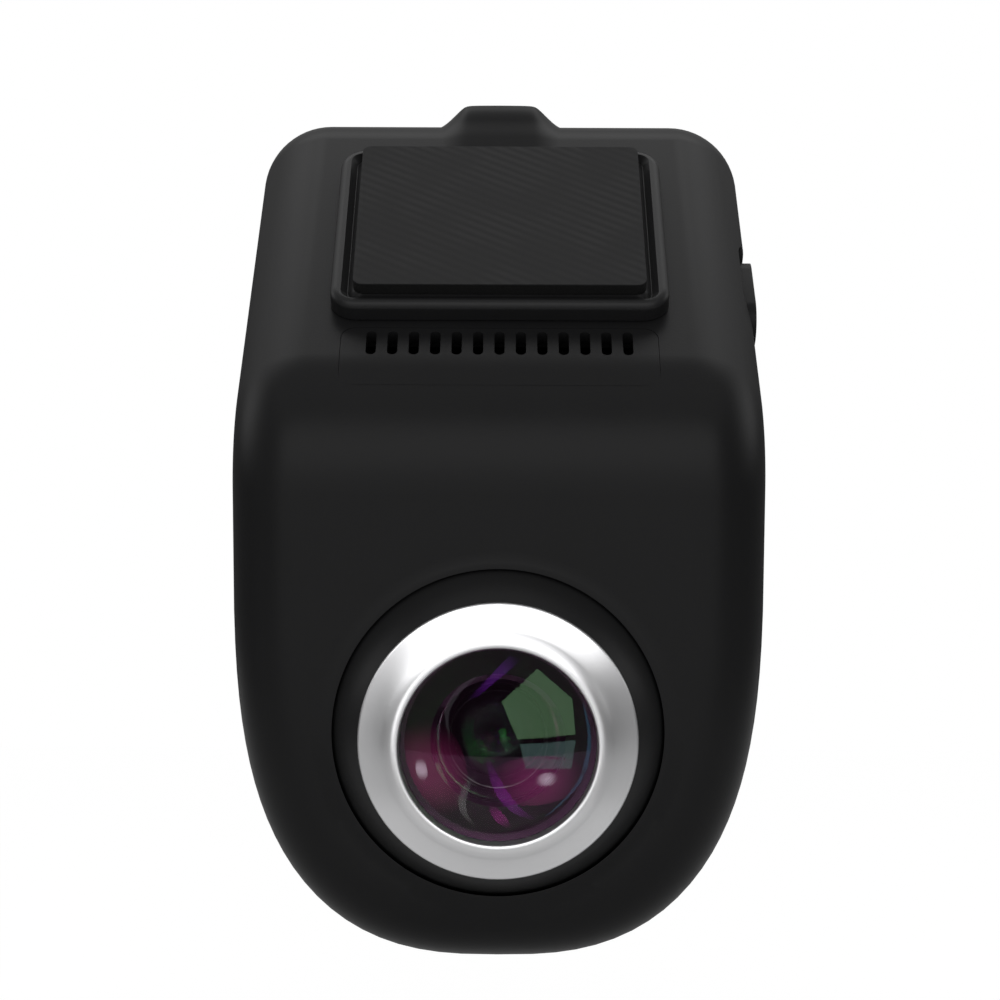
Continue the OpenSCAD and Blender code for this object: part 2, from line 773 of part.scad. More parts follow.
module lens_retainer() {
    inner = glass_r - retainer_lap;
    glass_edge = apex_z + glass_curve - sqrt(glass_curve * glass_curve - inner * inner);
    color("#0e0e10") placed() lens_axis() translate([0, 0, lip_z + fit_gap])
        tube(glass_r + fit_gap, inner, glass_edge - lip_z - 2 * fit_gap);
}

// Lens with its front face's tip at z = 0, bulging forwards, and a flat rear at z = h
module domed_lens(r, curve, h)
    intersection() {
        translate([0, 0, curve]) sphere(curve);
        cylinder(r = r, h = h);
    }

module front_lens()
    color("#2b2038", 0.5) placed() lens_axis() translate([0, 0, apex_z]) difference() {
        domed_lens(glass_r, glass_curve, glass_h);
        translate([0, 0, glass_mid + hollow_curve]) sphere(hollow_curve);
    }

module second_lens()
    color("#203038", 0.5) placed() lens_axis() translate([0, 0, step_z + lens_gap])
        domed_lens(middle_r, second_curve, middle_t);

module third_lens()
    color("#203038", 0.5) placed() lens_axis() translate([0, 0, stop_z - middle_t])
        domed_lens(middle_r, third_curve, middle_t);

module rear_lens()
    color("#203038", 0.5) placed() lens_axis() translate([0, 0, rear_z])
        domed_lens(rear_r, rear_curve, rear_t);

module lens_spacers()
    color("#0e0e10") placed() lens_axis() {
        translate([0, 0, glass_z]) tube(glass_r, middle_r - 0.4, step_z - glass_z);
        translate([0, 0, step_z + lens_gap + middle_t]) tube(middle_r, middle_r - 0.7, spacer_t);
        translate([0, 0, rear_z + rear_t]) tube(rear_r, rear_r - 0.9, rear_spacer_t);
    }

module lens_holder() {
    base_t = 2.2;
    neck_z = 1.6;
    color("#202022") placed() lens_axis() difference() {
        union() {
            translate([0, 0, neck_z]) cylinder(r = neck_r, h = eye_board_z - neck_z);
            translate([0, 0, eye_board_z - base_t]) linear_extrude(base_t)
                plate_outline(holder_w, holder_w, 1);
        }
        translate([0, 0, neck_z - 1]) cylinder(r = tail_r + fit_gap, h = ledge_z - neck_z + 1);
        cylinder(r = filter_w / 2 - 0.9, h = big, center = true);
        translate([0, 0, filter_z]) linear_extrude(big) square(filter_w + 4 * fit_gap, center = true);
    }
}

module infrared_filter()
    color("#7a4a5a", 0.6) placed() lens_axis() translate([0, 0, filter_z])
        linear_extrude(filter_t) plate_outline(filter_w, filter_w, 0.3);

module image_sensor()
    color("#1f2a3a") placed() lens_axis() translate([0, 0, eye_board_z - sensor_t])
        linear_extrude(sensor_t) plate_outline(sensor_w, sensor_w * 0.9, 0.2);

module sensor_board()
    color("#1d4a2e") placed() lens_axis() translate([0, 0, eye_board_z])
        linear_extrude(board_t) difference() {
            plate_outline(eye_board_w, eye_board_h, 1);
            eye_post_places() circle(shank_r + shank_gap);
        }

module sensor_screws()
    color("#b8b8bc") placed() lens_axis() eye_post_places()
        translate([0, 0, eye_board_z + board_t]) screw(screw_board);

module sensor_connector()
    color("#d8d4c4") placed() lens_axis() translate([0, -eye_plug_z, eye_board_z + board_t])
        linear_extrude(connector_h) square([connector_w, connector_l], center = true);

module board_connector()
    color("#d8d4c4") placed() on_slope() translate([0, board_plug_s, board_foot - connector_h])
        linear_extrude(connector_h) square([connector_w, connector_l], center = true);

// The ribbon rises from the sensor's connector to the board's, bowed to the rear
module sensor_ribbon() {
    from = [ball_back + eye_board_z + board_t + connector_h / 2, eye_plug_z + connector_l / 2 + fit_gap];
    to = slope_point(board_plug_s, board_foot - connector_h - 2 * fit_gap);
    span = [to[1], to[2]] - from;
    path = [for (i = [0 : ribbon_steps])
        from + span * i / ribbon_steps + [ribbon_bow * sin(180 * i / ribbon_steps), 0]];
    back = [for (i = [ribbon_steps : -1 : 0]) path[i] + [ribbon_t, 0]];
    color("#c8a060") placed() rotate([90, 0, 90]) translate([0, 0, -ribbon_w / 2])
        linear_extrude(ribbon_w) polygon(concat(path, back));
}

// Main board and what it carries, in the leaning face's axes

module board_box(x, s, n, size) translate([x - size[0] / 2, s - size[1] / 2, n]) cube(size);

module main_board()
    color("#1d4a2e") placed() on_slope() translate([0, 0, board_foot])
        linear_extrude(board_t) difference() {
            translate([0, board_s + board_l / 2]) plate_outline(board_w, board_l, 1.5);
            board_post_places() circle(shank_r + shank_gap);
            translate([rim_x - rim_t - button_travel - part_gap, button_s - button_l / 2 - rim_seat])
                square([big, button_l + 2 * rim_seat]);
        }

module board_screws()
    color("#b8b8bc") placed() on_slope() board_post_places()
        translate([0, 0, board_foot]) rotate([180, 0, 0]) screw(screw_board);

module processor()
    color("#17171a") placed() on_slope() board_box(0, chip_s, -board_n, [chip_w, chip_w, chip_t]);

module thermal_pad()
    color("#8fa3b8") placed() on_slope()
        board_box(0, chip_s, -board_n + chip_t, [chip_w, chip_w, thermal_t]);

module heat_spreader()
    color("#b4b7bb") placed() on_slope() translate([-spread_w / 2, spread_s, spread_n]) {
        cube([spread_w, spread_l, spread_t]);
        for (i = [0 : fin_count - 1])
            translate([i / (fin_count - 1) * (spread_w - fin_t), 0, spread_t - eps])
                cube([fin_t, fin_l, fin_h]);
    }

module memory_chips()
    color("#17171a") placed() on_slope() for (x = [-1, 1])
        board_box(x * memory_x, memory_s, -board_n, memory_size);

module radio_shield()
    color("#c0c2c6") placed() on_slope() board_box(-shield_x, shield_s, -board_n, shield_size);

module power_coils()
    color("#4a4a4e") placed() on_slope() for (step = [-coil_pitch / 2, coil_pitch / 2])
        board_box(shield_x, shield_s + step, -board_n, coil_size);

module supercapacitors()
    color("#2f3f8a") placed() on_slope() for (x = [cap_apart / 2, -cap_apart / 2 - cap_l])
        translate([x, cap_s, cap_n]) rotate([0, 90, 0]) cylinder(r = cap_r, h = cap_l);

module usb_inlet()
    color("#c0c2c6") placed() on_slope() translate([0, usb_s, usb_n]) rotate([-90, 0, 0]) {
        difference() {
            linear_extrude(usb_l) plate_outline(usb_w, usb_h, usb_r);
            translate([0, 0, usb_back]) linear_extrude(usb_l)
                plate_outline(usb_w - 2 * usb_skin, usb_h - 2 * usb_skin, usb_r - usb_skin);
        }
        translate([0, 0, usb_back - eps]) linear_extrude(usb_l - 2 * usb_back)
            square([usb_w / 2, usb_tongue_t], center = true);
    }

// Slot for the card, wider than the card by a gap all round
module card_slot(from, l, gap)
    on_slope() translate([from, card_s - card_w / 2 - gap, card_n - card_t / 2 - gap])
        cube([l, card_w + 2 * gap, card_t + 2 * gap]);

module card_socket()
    color("#c0c2c6") placed() difference() {
        on_slope() translate([card_x + socket_set, card_s - socket_w / 2, board_foot - socket_t])
            cube([socket_l, socket_w, socket_t]);
        card_slot(card_x, card_l + card_gap, card_gap);
    }

module memory_card()
    color("#161618") placed() on_slope() translate([card_x + card_l / 2, card_s, card_n - card_t / 2])
        linear_extrude(card_t) plate_outline(card_l, card_w, card_r);

module tact_switch()
    color("#c0c2c6") placed() on_slope() difference() {
        board_box(switch_x - switch_size[0] / 2, button_s, board_foot - switch_size[2], switch_size);
        translate([switch_x - plunger_in - button_travel - 0.3, button_s, switch_n]) rotate([0, 90, 0])
            cylinder(r = plunger_r + plunger_gap, h = switch_size[0]);
    }

module switch_plunger()
    color("#e0dccc") placed() on_slope() translate([switch_x - plunger_in, button_s, switch_n])
        rotate([0, 90, 0])
            cylinder(r = plunger_r, h = plunger_in + plunger_out);

module side_button()
    color("#1f1f21") placed() button_axis() translate([0, 0, rim_x - rim_t - body_w / 2]) {
        linear_extrude(rim_t) pill_outline(button_w + 2 * button_rim, button_l + 2 * button_rim);
        linear_extrude(body_w / 2 + button_out - rim_x + rim_t) pill_outline(button_w, button_l);
    }

// Rear housing's own pieces

module rear_inside() on_seam() translate([0, corner_r - wall, 0]) rotate([90, 0, 0]) children();

module speaker()
    color("#2c2c30") placed() rear_inside() translate([0, speaker_z, rear_rest]) {
        cylinder(r = speaker_r, h = speaker_h * 0.6);
        cylinder(r = speaker_r * 0.65, h = speaker_h);
    }

module radio_antenna()
    color("#b07a3a") placed() rear_inside() translate([0, antenna_z, rear_rest])
        linear_extrude(antenna_t) plate_outline(antenna_w, antenna_h, 1);

module microphone()
    color("#a8a8ac") placed() on_slope() translate([-led_x, board_end - mic_inset, board_foot - mic_h])
        cylinder(r = mic_r, h = mic_h);

module status_led()
    color("#e6e6d8") placed() on_slope()
        board_box(led_x, board_end - led_inset, board_foot - led_size[2], led_size);

module light_pipe()
    color("#f0f0f0", 0.6) placed() on_slope() translate([led_x, board_end + pipe_gap, nose_n])
        rotate([-90, 0, 0]) cylinder(r = pipe_r, h = nose_s - board_end - pipe_gap);

mount_bracket();
adhesive_pad();
pad_film();
front_housing();
rear_housing();
vent_panel();
slide_rail();
rail_screws();
housing_screws();
lens_cradle();
trunnion_bushes();
cradle_screws();
friction_ring();
lens_ball();
trunnion_pins();
bezel_ring();
lens_barrel();
lens_retainer();
front_lens();
second_lens();
third_lens();
rear_lens();
lens_spacers();
lens_holder();
infrared_filter();
image_sensor();
sensor_board();
sensor_screws();
sensor_connector();
sensor_ribbon();
main_board();
board_screws();
board_connector();
processor();
thermal_pad();
heat_spreader();
memory_chips();
radio_shield();
radio_antenna();
power_coils();
supercapacitors();
usb_inlet();
card_socket();
memory_card();
tact_switch();
switch_plunger();
side_button();
speaker();
microphone();
status_led();
light_pipe();
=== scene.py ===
# Dash camera: the looks of a windscreen camera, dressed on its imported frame.
# All pieces are drawn in millimetres and set down in the frame's metres.
import json
import math

import bmesh
import bpy
from mathutils import Matrix, Vector
from mathutils.bvhtree import BVHTree


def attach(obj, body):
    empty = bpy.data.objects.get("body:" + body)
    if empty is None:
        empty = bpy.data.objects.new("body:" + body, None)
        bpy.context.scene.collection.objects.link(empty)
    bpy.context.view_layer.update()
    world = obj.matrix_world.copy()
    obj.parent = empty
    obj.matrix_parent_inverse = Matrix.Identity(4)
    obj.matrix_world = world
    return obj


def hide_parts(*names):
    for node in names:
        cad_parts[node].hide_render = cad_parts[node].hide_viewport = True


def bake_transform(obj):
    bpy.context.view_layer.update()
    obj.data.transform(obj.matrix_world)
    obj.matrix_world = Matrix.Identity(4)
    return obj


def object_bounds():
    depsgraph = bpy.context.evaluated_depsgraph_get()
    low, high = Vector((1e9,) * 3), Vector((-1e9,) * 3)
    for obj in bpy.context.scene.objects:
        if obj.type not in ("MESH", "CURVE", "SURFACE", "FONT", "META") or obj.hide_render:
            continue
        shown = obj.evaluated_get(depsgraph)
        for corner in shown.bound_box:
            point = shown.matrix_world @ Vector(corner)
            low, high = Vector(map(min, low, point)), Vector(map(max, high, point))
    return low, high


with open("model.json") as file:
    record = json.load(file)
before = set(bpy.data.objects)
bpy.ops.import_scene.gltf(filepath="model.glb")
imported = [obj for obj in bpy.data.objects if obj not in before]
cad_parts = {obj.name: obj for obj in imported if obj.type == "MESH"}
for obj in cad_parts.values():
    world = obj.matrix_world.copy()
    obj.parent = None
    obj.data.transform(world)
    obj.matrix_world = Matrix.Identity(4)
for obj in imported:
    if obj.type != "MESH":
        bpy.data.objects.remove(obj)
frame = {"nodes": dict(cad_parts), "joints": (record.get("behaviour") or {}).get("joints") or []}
cad_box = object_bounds()

# Viewpoint: the camera stands in front of the lens and a little above it, with a long
# lens and its top tipped down a few degrees, as for a shop's picture of a small product.
mm = 0.001
lens_at = Vector(next(j["pos_m"] for j in frame["joints"] if j["name"] == "lens_tilt"))
ball_back = 7.4 * mm
front_y = lens_at.y - ball_back
view = bpy.data.cameras.new("view")
view.lens, view.sensor_width = 79.2, 36
camera = bpy.data.objects.new("view", view)
bpy.context.scene.collection.objects.link(camera)
tip, roll = math.radians(83.7), math.radians(0.22)
stand_x, stand_off, stand_up = 0.1 * mm, 198.52 * mm, 43.46 * mm
camera.matrix_world = (Matrix.Translation((stand_x, front_y - stand_off, lens_at.z + stand_up))
                       @ Matrix.Rotation(tip, 4, "X") @ Matrix.Rotation(roll, 4, "Z"))
bpy.context.scene.camera = camera
bpy.context.scene.view_settings.view_transform = "Standard"


# Studio: a white backdrop, a room that is bright overhead and dim at eye level, three wide
# soft lamps in front and above, and a pale floor below the hanging object.
class Wire:
    """A value in a shader. Sums and products of wires add their own Math nodes."""

    def __init__(self, tree, socket):
        self.tree, self.socket = tree, socket

    def other(self, name):
        return Wire(self.tree, self.socket.node.outputs[name])

    def maths(self, operation, first, second):
        return self.tree.node("ShaderNodeMath", {"operation": operation}, {0: first, 1: second})

    def __add__(self, value):
        return self.maths("ADD", self, value)

    def __sub__(self, value):
        return self.maths("SUBTRACT", self, value)

    def __rsub__(self, value):
        return self.maths("SUBTRACT", value, self)

    def __mul__(self, value):
        return self.maths("MULTIPLY", self, value)

    def __truediv__(self, value):
        return self.maths("DIVIDE", self, value)

    def __pow__(self, value):
        return self.maths("POWER", self, value)

    def __gt__(self, value):
        return self.maths("GREATER_THAN", self, value)

    def __lt__(self, value):
        return self.maths("LESS_THAN", self, value)

    def __abs__(self):
        return self.maths("ABSOLUTE", self, 0)

    def wave(self, pitch):
        """A wave between -1 and 1 that comes back at a pitch."""
        return self.maths("SINE", self * (2 * math.pi / pitch), 0)

    __radd__, __rmul__ = __add__, __mul__


class Tree:
    """A node tree that is written from top to bottom, one node at a time."""

    def __init__(self, owner):
        owner.use_nodes = True
        self.nodes, self.links = owner.node_tree.nodes, owner.node_tree.links
        self.nodes.clear()

    def node(self, kind, settings=None, sockets=None):
        made = self.nodes.new(kind)
        for name, value in (settings or {}).items():
            setattr(made, name, value)
        for name, value in (sockets or {}).items():
            if isinstance(value, Wire):
                self.links.new(value.socket, made.inputs[name])
            else:
                made.inputs[name].default_value = value
        return Wire(self, made.outputs[0]) if made.outputs else None

    def seen(self):
        """1 where a camera, mirror or glass looks straight at the surface, and 0 for its light."""
        path = self.node("ShaderNodeLightPath")
        looks = path + path.other("Is Glossy Ray") + path.other("Is Transmission Ray")
        return self.node("ShaderNodeClamp", None, {"Value": looks})

    def place(self):
        return self.node("ShaderNodeTexCoord").other("Object")

    def noise(self, grain, detail):
        """A cloud of values round 0.5, with its grain in millimetres."""
        return self.node("ShaderNodeTexNoise", None, {
            "Vector": self.place(), "Scale": 1 / (grain * mm), "Detail": detail})

    def cells(self, size, randomness=1, feature="F1"):
        """A pattern of cells, with their size in millimetres."""
        return self.node("ShaderNodeTexVoronoi", {"feature": feature}, {
            "Vector": self.place(), "Scale": 1 / (size * mm), "Randomness": randomness})

    def tones(self, factor, low, high):
        """A colour between two others."""
        low, high = (end if isinstance(end, Wire) else (*end, 1) for end in (low, high))
        return self.node("ShaderNodeMix", {"data_type": "RGBA"}, {"Factor": factor, 6: low, 7: high}).other(2)

    def bump(self, strength, depth, height):
        """A fine relief, with its depth in millimetres."""
        return self.node("ShaderNodeBump", None, {"Strength": strength, "Distance": depth * mm, "Height": height})

    def coat(self, sockets):
        """Ends a material's tree with its one surface."""
        self.node("ShaderNodeOutputMaterial", None, {
            "Surface": self.node("ShaderNodeBsdfPrincipled", None, sockets)})


room = bpy.data.worlds.new("room")
bpy.context.scene.world = room
tree = Tree(room)
way = tree.node("ShaderNodeSeparateXYZ", None, {0: tree.node("ShaderNodeTexCoord").other("Generated")})


def soft_step(value, low, high):
    return value.tree.node("ShaderNodeMapRange", {"interpolation_type": "SMOOTHSTEP"},
                           {"Value": value, "From Min": low, "From Max": high})


side, back, up = way, way.other("Y"), way.other("Z")
wide = side * side
overhead = soft_step(back * 0.9 + up * 0.35 + wide * 0.3, 0.43, 0.62) * soft_step(up, 0, 0.4)
overhead = overhead * (1 - 0.66 * soft_step(wide, 0.05, 0.5)) * (1 - 0.85 * soft_step(back, 0.45, 0.75))
flanks = soft_step(wide, 0.5, 0.9) * soft_step(up, 0, 0.25) * soft_step(back, -0.25, 0.2)
beside = soft_step(back, 0.1, -0.25) * soft_step(back, -0.95, -0.6) * (1 - 0.55 * soft_step(side, 0.3, 0.8))
around = 0.08 + beside * 0.15 + overhead * 1.78 + flanks * 0.8
path = tree.node("ShaderNodeLightPath")
backdrop = soft_step(back, 0.97, 0.99) * tree.seen()
strength = around.maths("MAXIMUM", around.maths("MAXIMUM", around, backdrop), path)
glow = tree.node("ShaderNodeBackground", None, {"Color": (1, 1, 1, 1), "Strength": strength})
tree.node("ShaderNodeOutputWorld", None, {"Surface": glow})


def soft_lamp(name, place, aim, size, watts):
    """A rectangular soft lamp at a place in millimetres from the lens, turned to aim."""
    lamp = bpy.data.lights.new(name, "AREA")
    lamp.shape, lamp.size, lamp.size_y = "RECTANGLE", size[0] * mm, size[1] * mm
    lamp.energy = watts
    piece = bpy.data.objects.new(name, lamp)
    bpy.context.scene.collection.objects.link(piece)
    piece.visible_camera = False
    place, aim = lens_at + Vector(place) * mm, lens_at + Vector(aim) * mm
    piece.matrix_world = (Matrix.Translation(place)
                          @ (aim - place).to_track_quat("-Z", "Y").to_matrix().to_4x4())
    return piece


front_lamp = soft_lamp("front_lamp", (0, -420, 250), (0, 0, 10), (800, 260), 0.85)
fill_lamp = soft_lamp("fill_lamp", (0, -440, 10), (0, 0, 0), (900, 240), 0.46)
soft_lamp("top_lamp", (0, -150, 420), (0, 0, 20), (900, 220), 0.2)

floor_size, floor_drop = 0.42, 30 * mm
bpy.ops.object.select_all(action="DESELECT")
bpy.ops.mesh.primitive_plane_add(size=floor_size, location=(0, 0, cad_box[0][2] - floor_drop))
floor = bpy.context.object
floor.name = "floor"
pale = bpy.data.materials.new("pale_floor")
tree = Tree(pale)
matt = tree.node("ShaderNodeBsdfDiffuse", None, {"Color": (0.5, 0.5, 0.5, 1)})
lit = tree.node("ShaderNodeEmission", None, {"Color": (1, 1, 1, 1), "Strength": 1.3})
path = tree.node("ShaderNodeLightPath")
mixed = tree.node("ShaderNodeMixShader", None, {0: tree.seen() * 0.04 + path * 0.66, 1: matt, 2: lit})
tree.node("ShaderNodeOutputMaterial", None, {"Surface": mixed})
floor.data.materials.append(pale)


# Lens ball: a black moulded ball, open at the rear, that carries the lens and tilts on two
# pins in the socket of the front housing. Its seat for the ring is cut flat at the front.
def turned(name, profile, steps=128):
    """A piece spun about the z axis from a profile of (radius, z) points."""
    bpy.ops.object.select_all(action="DESELECT")
    bpy.ops.mesh.primitive_plane_add(size=1)
    piece = bpy.context.object
    piece.name = name
    bpy.ops.object.mode_set(mode="EDIT")
    bpy.ops.mesh.select_all(action="SELECT")
    bpy.ops.mesh.merge(type="CENTER")
    at = Vector((profile[0][0], 0, profile[0][1]))
    bpy.ops.transform.translate(value=at)
    for radius, z in profile[1:]:
        step = Vector((radius, 0, z)) - at
        bpy.ops.mesh.extrude_region_move(TRANSFORM_OT_translate={"value": step})
        at = at + step
    bpy.ops.mesh.select_all(action="SELECT")
    bpy.ops.mesh.spin(steps=steps, angle=2 * math.pi, center=(0, 0, 0), axis=(0, 0, 1))
    bpy.ops.mesh.select_all(action="SELECT")
    bpy.ops.mesh.remove_doubles(threshold=0.001)
    bpy.ops.mesh.normals_make_consistent(inside=False)
    bpy.ops.object.mode_set(mode="OBJECT")
    return piece


def arc(centre, radius, first, last, steps):
    """Points on an arc in a profile, with its angles in degrees."""
    turn = [math.radians(first + (last - first) * k / steps) for k in range(steps + 1)]
    return [(centre[0] + radius * math.cos(a), centre[1] + radius * math.sin(a)) for a in turn]


def pick(piece):
    """Selects a piece alone and makes it the active one."""
    bpy.ops.object.select_all(action="DESELECT")
    piece.select_set(True)
    bpy.context.view_layer.objects.active = piece


def set_down(piece, place, lean, smooth=35, flat=False):
    """Applies a piece's place in metres, its lean about x and its scale, and smooths it."""
    piece.location, piece.rotation_euler, piece.scale = place, (lean, 0, 0), (mm, mm, mm)
    pick(piece)
    bpy.ops.object.transform_apply(location=True, rotation=True, scale=True)
    bpy.ops.object.shade_smooth_by_angle(angle=math.radians(smooth))
    if flat:
        even = piece.modifiers.new("even", "WEIGHTED_NORMAL")
        even.keep_sharp = True
        bpy.ops.object.modifier_apply(modifier=even.name)


def plastic(name, colour, roughness, grain=0.2, depth=0.012, gloss=0.16):
    """Moulded plastic: a fine spark-eroded grain and faint cloudy changes of gloss."""
    made = bpy.data.materials.new(name)
    tree = Tree(made)
    fine, cloud = tree.noise(grain, 3), tree.noise(9, 2)
    tree.coat({"Base Color": tree.tones(cloud, [c * 0.9 for c in colour], [c * 1.1 for c in colour]),
               "Roughness": roughness + (cloud - 0.5) * 0.06 + (fine - 0.5) * 0.05,
               "Specular IOR Level": gloss, "Normal": tree.bump(0.5, depth, fine)})
    return made


def dress(piece, material):
    piece.data.materials.clear()
    piece.data.materials.append(material)


ball_r, ball_wall, ball_rear = 16.8, 1.8, 6.6
ring_out_r = 12.7
barrel_r = 10
seat_z = -math.sqrt(ball_r ** 2 - ring_out_r ** 2)
front_t = 2.4
rear_angle = math.degrees(math.asin(ball_rear / ball_r))
seat_angle = math.degrees(math.asin(seat_z / ball_r))
inner_r = ball_r - ball_wall
inner_front = math.degrees(math.asin((seat_z + front_t) / inner_r))
inner_rear = math.degrees(math.asin(ball_rear / inner_r))
lens_lean = math.radians(-90)
lens_ball = turned("ball_shell", arc((0, 0), ball_r, seat_angle, rear_angle, 40)
                   + arc((0, 0), inner_r, inner_rear, inner_front, 24)
                   + [(barrel_r, seat_z + front_t), (barrel_r, seat_z),
                      (ball_r * math.cos(math.radians(seat_angle)), seat_z)])
set_down(lens_ball, lens_at, lens_lean)
black_satin = plastic("ball_black", (0.016, 0.016, 0.0165), 0.38, gloss=0.22)
dress(lens_ball, black_satin)
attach(lens_ball, "lens_pod")
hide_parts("lens_ball")

# Bezel ring: a turned metal trim ring in satin chrome, pressed on the ball round the
# lens. Its sloping face runs in a soft hollow into a rounded lip at the opening.
ring_in_r, ring_rise, ring_edge, lip_deep, ring_gap = 8.9, 2.7, 0.22, 1.6, 0.05
tip_z = seat_z - ring_rise
lip_z = tip_z + lip_deep


def flowing(points, steps=6):
    """A smooth curve through points, for a profile."""
    ends = [points[0]] + points + [points[-1]]
    curve = []
    for p, q, r, t in zip(ends, ends[1:], ends[2:], ends[3:]):
        for k in range(steps):
            u = k / steps
            curve.append(tuple(((2 * q[i]) + (r[i] - p[i]) * u + (2 * p[i] - 5 * q[i] + 4 * r[i] - t[i]) * u ** 2
                                + (3 * q[i] - p[i] - 3 * r[i] + t[i]) * u ** 3) / 2 for i in (0, 1)))
    return curve + [points[-1]]


lip = [(12.58, 2.3), (12.0, 1.95), (11.4, 1.56), (10.9, 1.2), (10.5, 0.88), (10.2, 0.6),
       (9.9, 0.34), (9.6, 0.13), (9.3, 0.02), (9.08, 0.05), (8.95, 0.22), (ring_in_r, 0.5)]
ring_bore = barrel_r + ring_gap
bezel = turned("trim_ring", [(ring_out_r, seat_z), (ring_out_r, seat_z - ring_edge)]
               + flowing([(r, tip_z + rise) for r, rise in lip])
               + [(ring_in_r, lip_z), (ring_bore, lip_z), (ring_bore, seat_z), (ring_out_r, seat_z)],
               steps=160)
set_down(bezel, lens_at, lens_lean, 40)
chrome = bpy.data.materials.new("satin_chrome")
tree = Tree(chrome)
from_axis = tree.node("ShaderNodeVectorMath", {"operation": "SUBTRACT"}, {0: tree.place(), 1: lens_at})
off = tree.node("ShaderNodeSeparateXYZ", None, {0: from_axis})
radius = (off ** 2 + off.other("Z") ** 2) ** 0.5
marks = tree.node("ShaderNodeTexNoise", {"noise_dimensions": "1D"}, {"W": radius / (0.06 * mm), "Detail": 2})
tree.coat({"Base Color": (0.8, 0.8, 0.81, 1), "Metallic": 1, "Roughness": 0.32 + marks * 0.08,
           "Normal": tree.bump(0.1, 0.004, marks)})
dress(bezel, chrome)
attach(bezel, "lens_pod")
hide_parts("bezel_ring")


def shine_on(pieces, lamps):
    """Lets lamps reach only these pieces, as small cards round a lens do in a studio."""
    lit_set = bpy.data.collections.new(pieces[0].name + "_lit")
    for piece in pieces:
        lit_set.objects.link(piece)
    for lamp in lamps:
        lamp.light_linking.receiver_collection = lit_set


shine_on([bezel], [
    soft_lamp("ring_top", (-60, -235, 400), (0, 0, 0), (1500, 300), 2.6),
    soft_lamp("ring_left", (-257, -306, 0), (0, 0, 0), (140, 260), 0.14),
    soft_lamp("ring_low", (0, -380, -30), (0, 0, 0), (320, 40), 0.05),
    soft_lamp("ring_under", (0, -22, -49), (0, -14, -10), (130, 70), 0.006)])

# Front lens: a gently curved glass cap, hollow behind, held by a black ring that is
# screwed into the barrel. Its coating throws back a faint green and magenta.
glass_set, glass_r, glass_curve, hollow_curve = 0.45, 8.85, 40, 7.5
glass_h, glass_mid, foot_z, foot_r = 3.85, 1.45, 2.3, 9.1
apex_z = tip_z + glass_set
edge_angle = math.degrees(math.asin(glass_r / glass_curve))
hollow_r = math.sqrt(hollow_curve ** 2 - (hollow_curve - (glass_h - glass_mid)) ** 2)
hollow_angle = math.degrees(math.asin(hollow_r / hollow_curve))


def coated_glass(name, body, tint, bend):
    """Glass of a body colour and refraction, with a coating that tints what it throws back."""
    made = bpy.data.materials.new(name)
    tree = Tree(made)
    dust = tree.noise(1.5, 4)
    tree.coat({"Base Color": (*body, 1), "Roughness": 0.005 + dust * 0.02, "IOR": bend,
               "Transmission Weight": 1, "Specular Tint": (*tint, 1)})
    return made


front_glass = turned("front_glass", arc((0, apex_z + glass_curve), glass_curve, -90, -90 + edge_angle, 28)
                     + [(glass_r, tip_z + foot_z), (foot_r, tip_z + foot_z),
                        (foot_r, apex_z + glass_h), (hollow_r, apex_z + glass_h)]
                     + arc((0, apex_z + glass_mid + hollow_curve), hollow_curve, -90 + hollow_angle, -90, 24))
hollow_at, hollow_near = Vector((0, 0, apex_z + glass_mid + hollow_curve)), 0.05
dress(front_glass, coated_glass("front_coating", (0.8, 0.78, 0.8), (0.9, 0.42, 0.8), 1.52))
front_glass.data.materials.append(coated_glass("hollow_coating", (0.8, 0.75, 0.78), (0.1, 0.2, 0.14), 1.52))
for face in front_glass.data.polygons:
    face.material_index = int((face.center - hollow_at).length < hollow_curve + hollow_near)
set_down(front_glass, lens_at, lens_lean)
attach(front_glass, "lens_pod")
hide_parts("front_lens")

# Inner lenses, barrel and spacers: smaller glass caps stacked in a black anodised
# barrel, with blackened rings between them and a stop in front of the rear lens.
inner_lenses = [frame["nodes"][node] for node in ("second_lens", "third_lens", "rear_lens")]
for piece, tint in zip(inner_lenses, ((0.16, 0.28, 0.2), (0.2, 0.08, 0.26), (0.1, 0.24, 0.16))):
    dress(piece, coated_glass(piece.name + "_coating", (0.4, 0.39, 0.42), tint, 1.6))


def glow_card(name, far, corners, colour, strength, fade=False):
    """A glowing sheet in front of the lens, by its corners to the right and above in millimetres."""
    bpy.ops.object.select_all(action="DESELECT")
    bpy.ops.mesh.primitive_circle_add(vertices=len(corners), fill_type="NGON", radius=mm)
    sheet = bpy.context.object
    sheet.name = name
    for point, (x, z) in zip(sheet.data.vertices, corners):
        point.co = lens_at + Vector((x, -far, z)) * mm
    middle = sum((point.co for point in sheet.data.vertices), Vector()) / len(corners)
    reach = max((point.co - middle).length for point in sheet.data.vertices)
    made = bpy.data.materials.new(name)
    tree = Tree(made)
    out = tree.node("ShaderNodeVectorMath", {"operation": "DISTANCE"}, {0: tree.place(), 1: middle}).other("Value")
    power = soft_step(out / reach, 1, 0.1) * strength if fade else strength
    lit = tree.node("ShaderNodeEmission", None, {"Color": (*colour, 1), "Strength": power})
    clear = tree.node("ShaderNodeBsdfTransparent")
    mixed = tree.node("ShaderNodeAddShader", None, {0: lit, 1: clear})
    tree.node("ShaderNodeOutputMaterial", None, {"Surface": mixed})
    sheet.data.materials.append(made)
    sheet.visible_camera = sheet.visible_shadow = sheet.visible_diffuse = False
    return sheet


def oval(x, z, half_w, half_h):
    return [(x + half_w * math.cos(a), z + half_h * math.sin(a)) for a in (math.tau * k / 24 for k in range(24))]


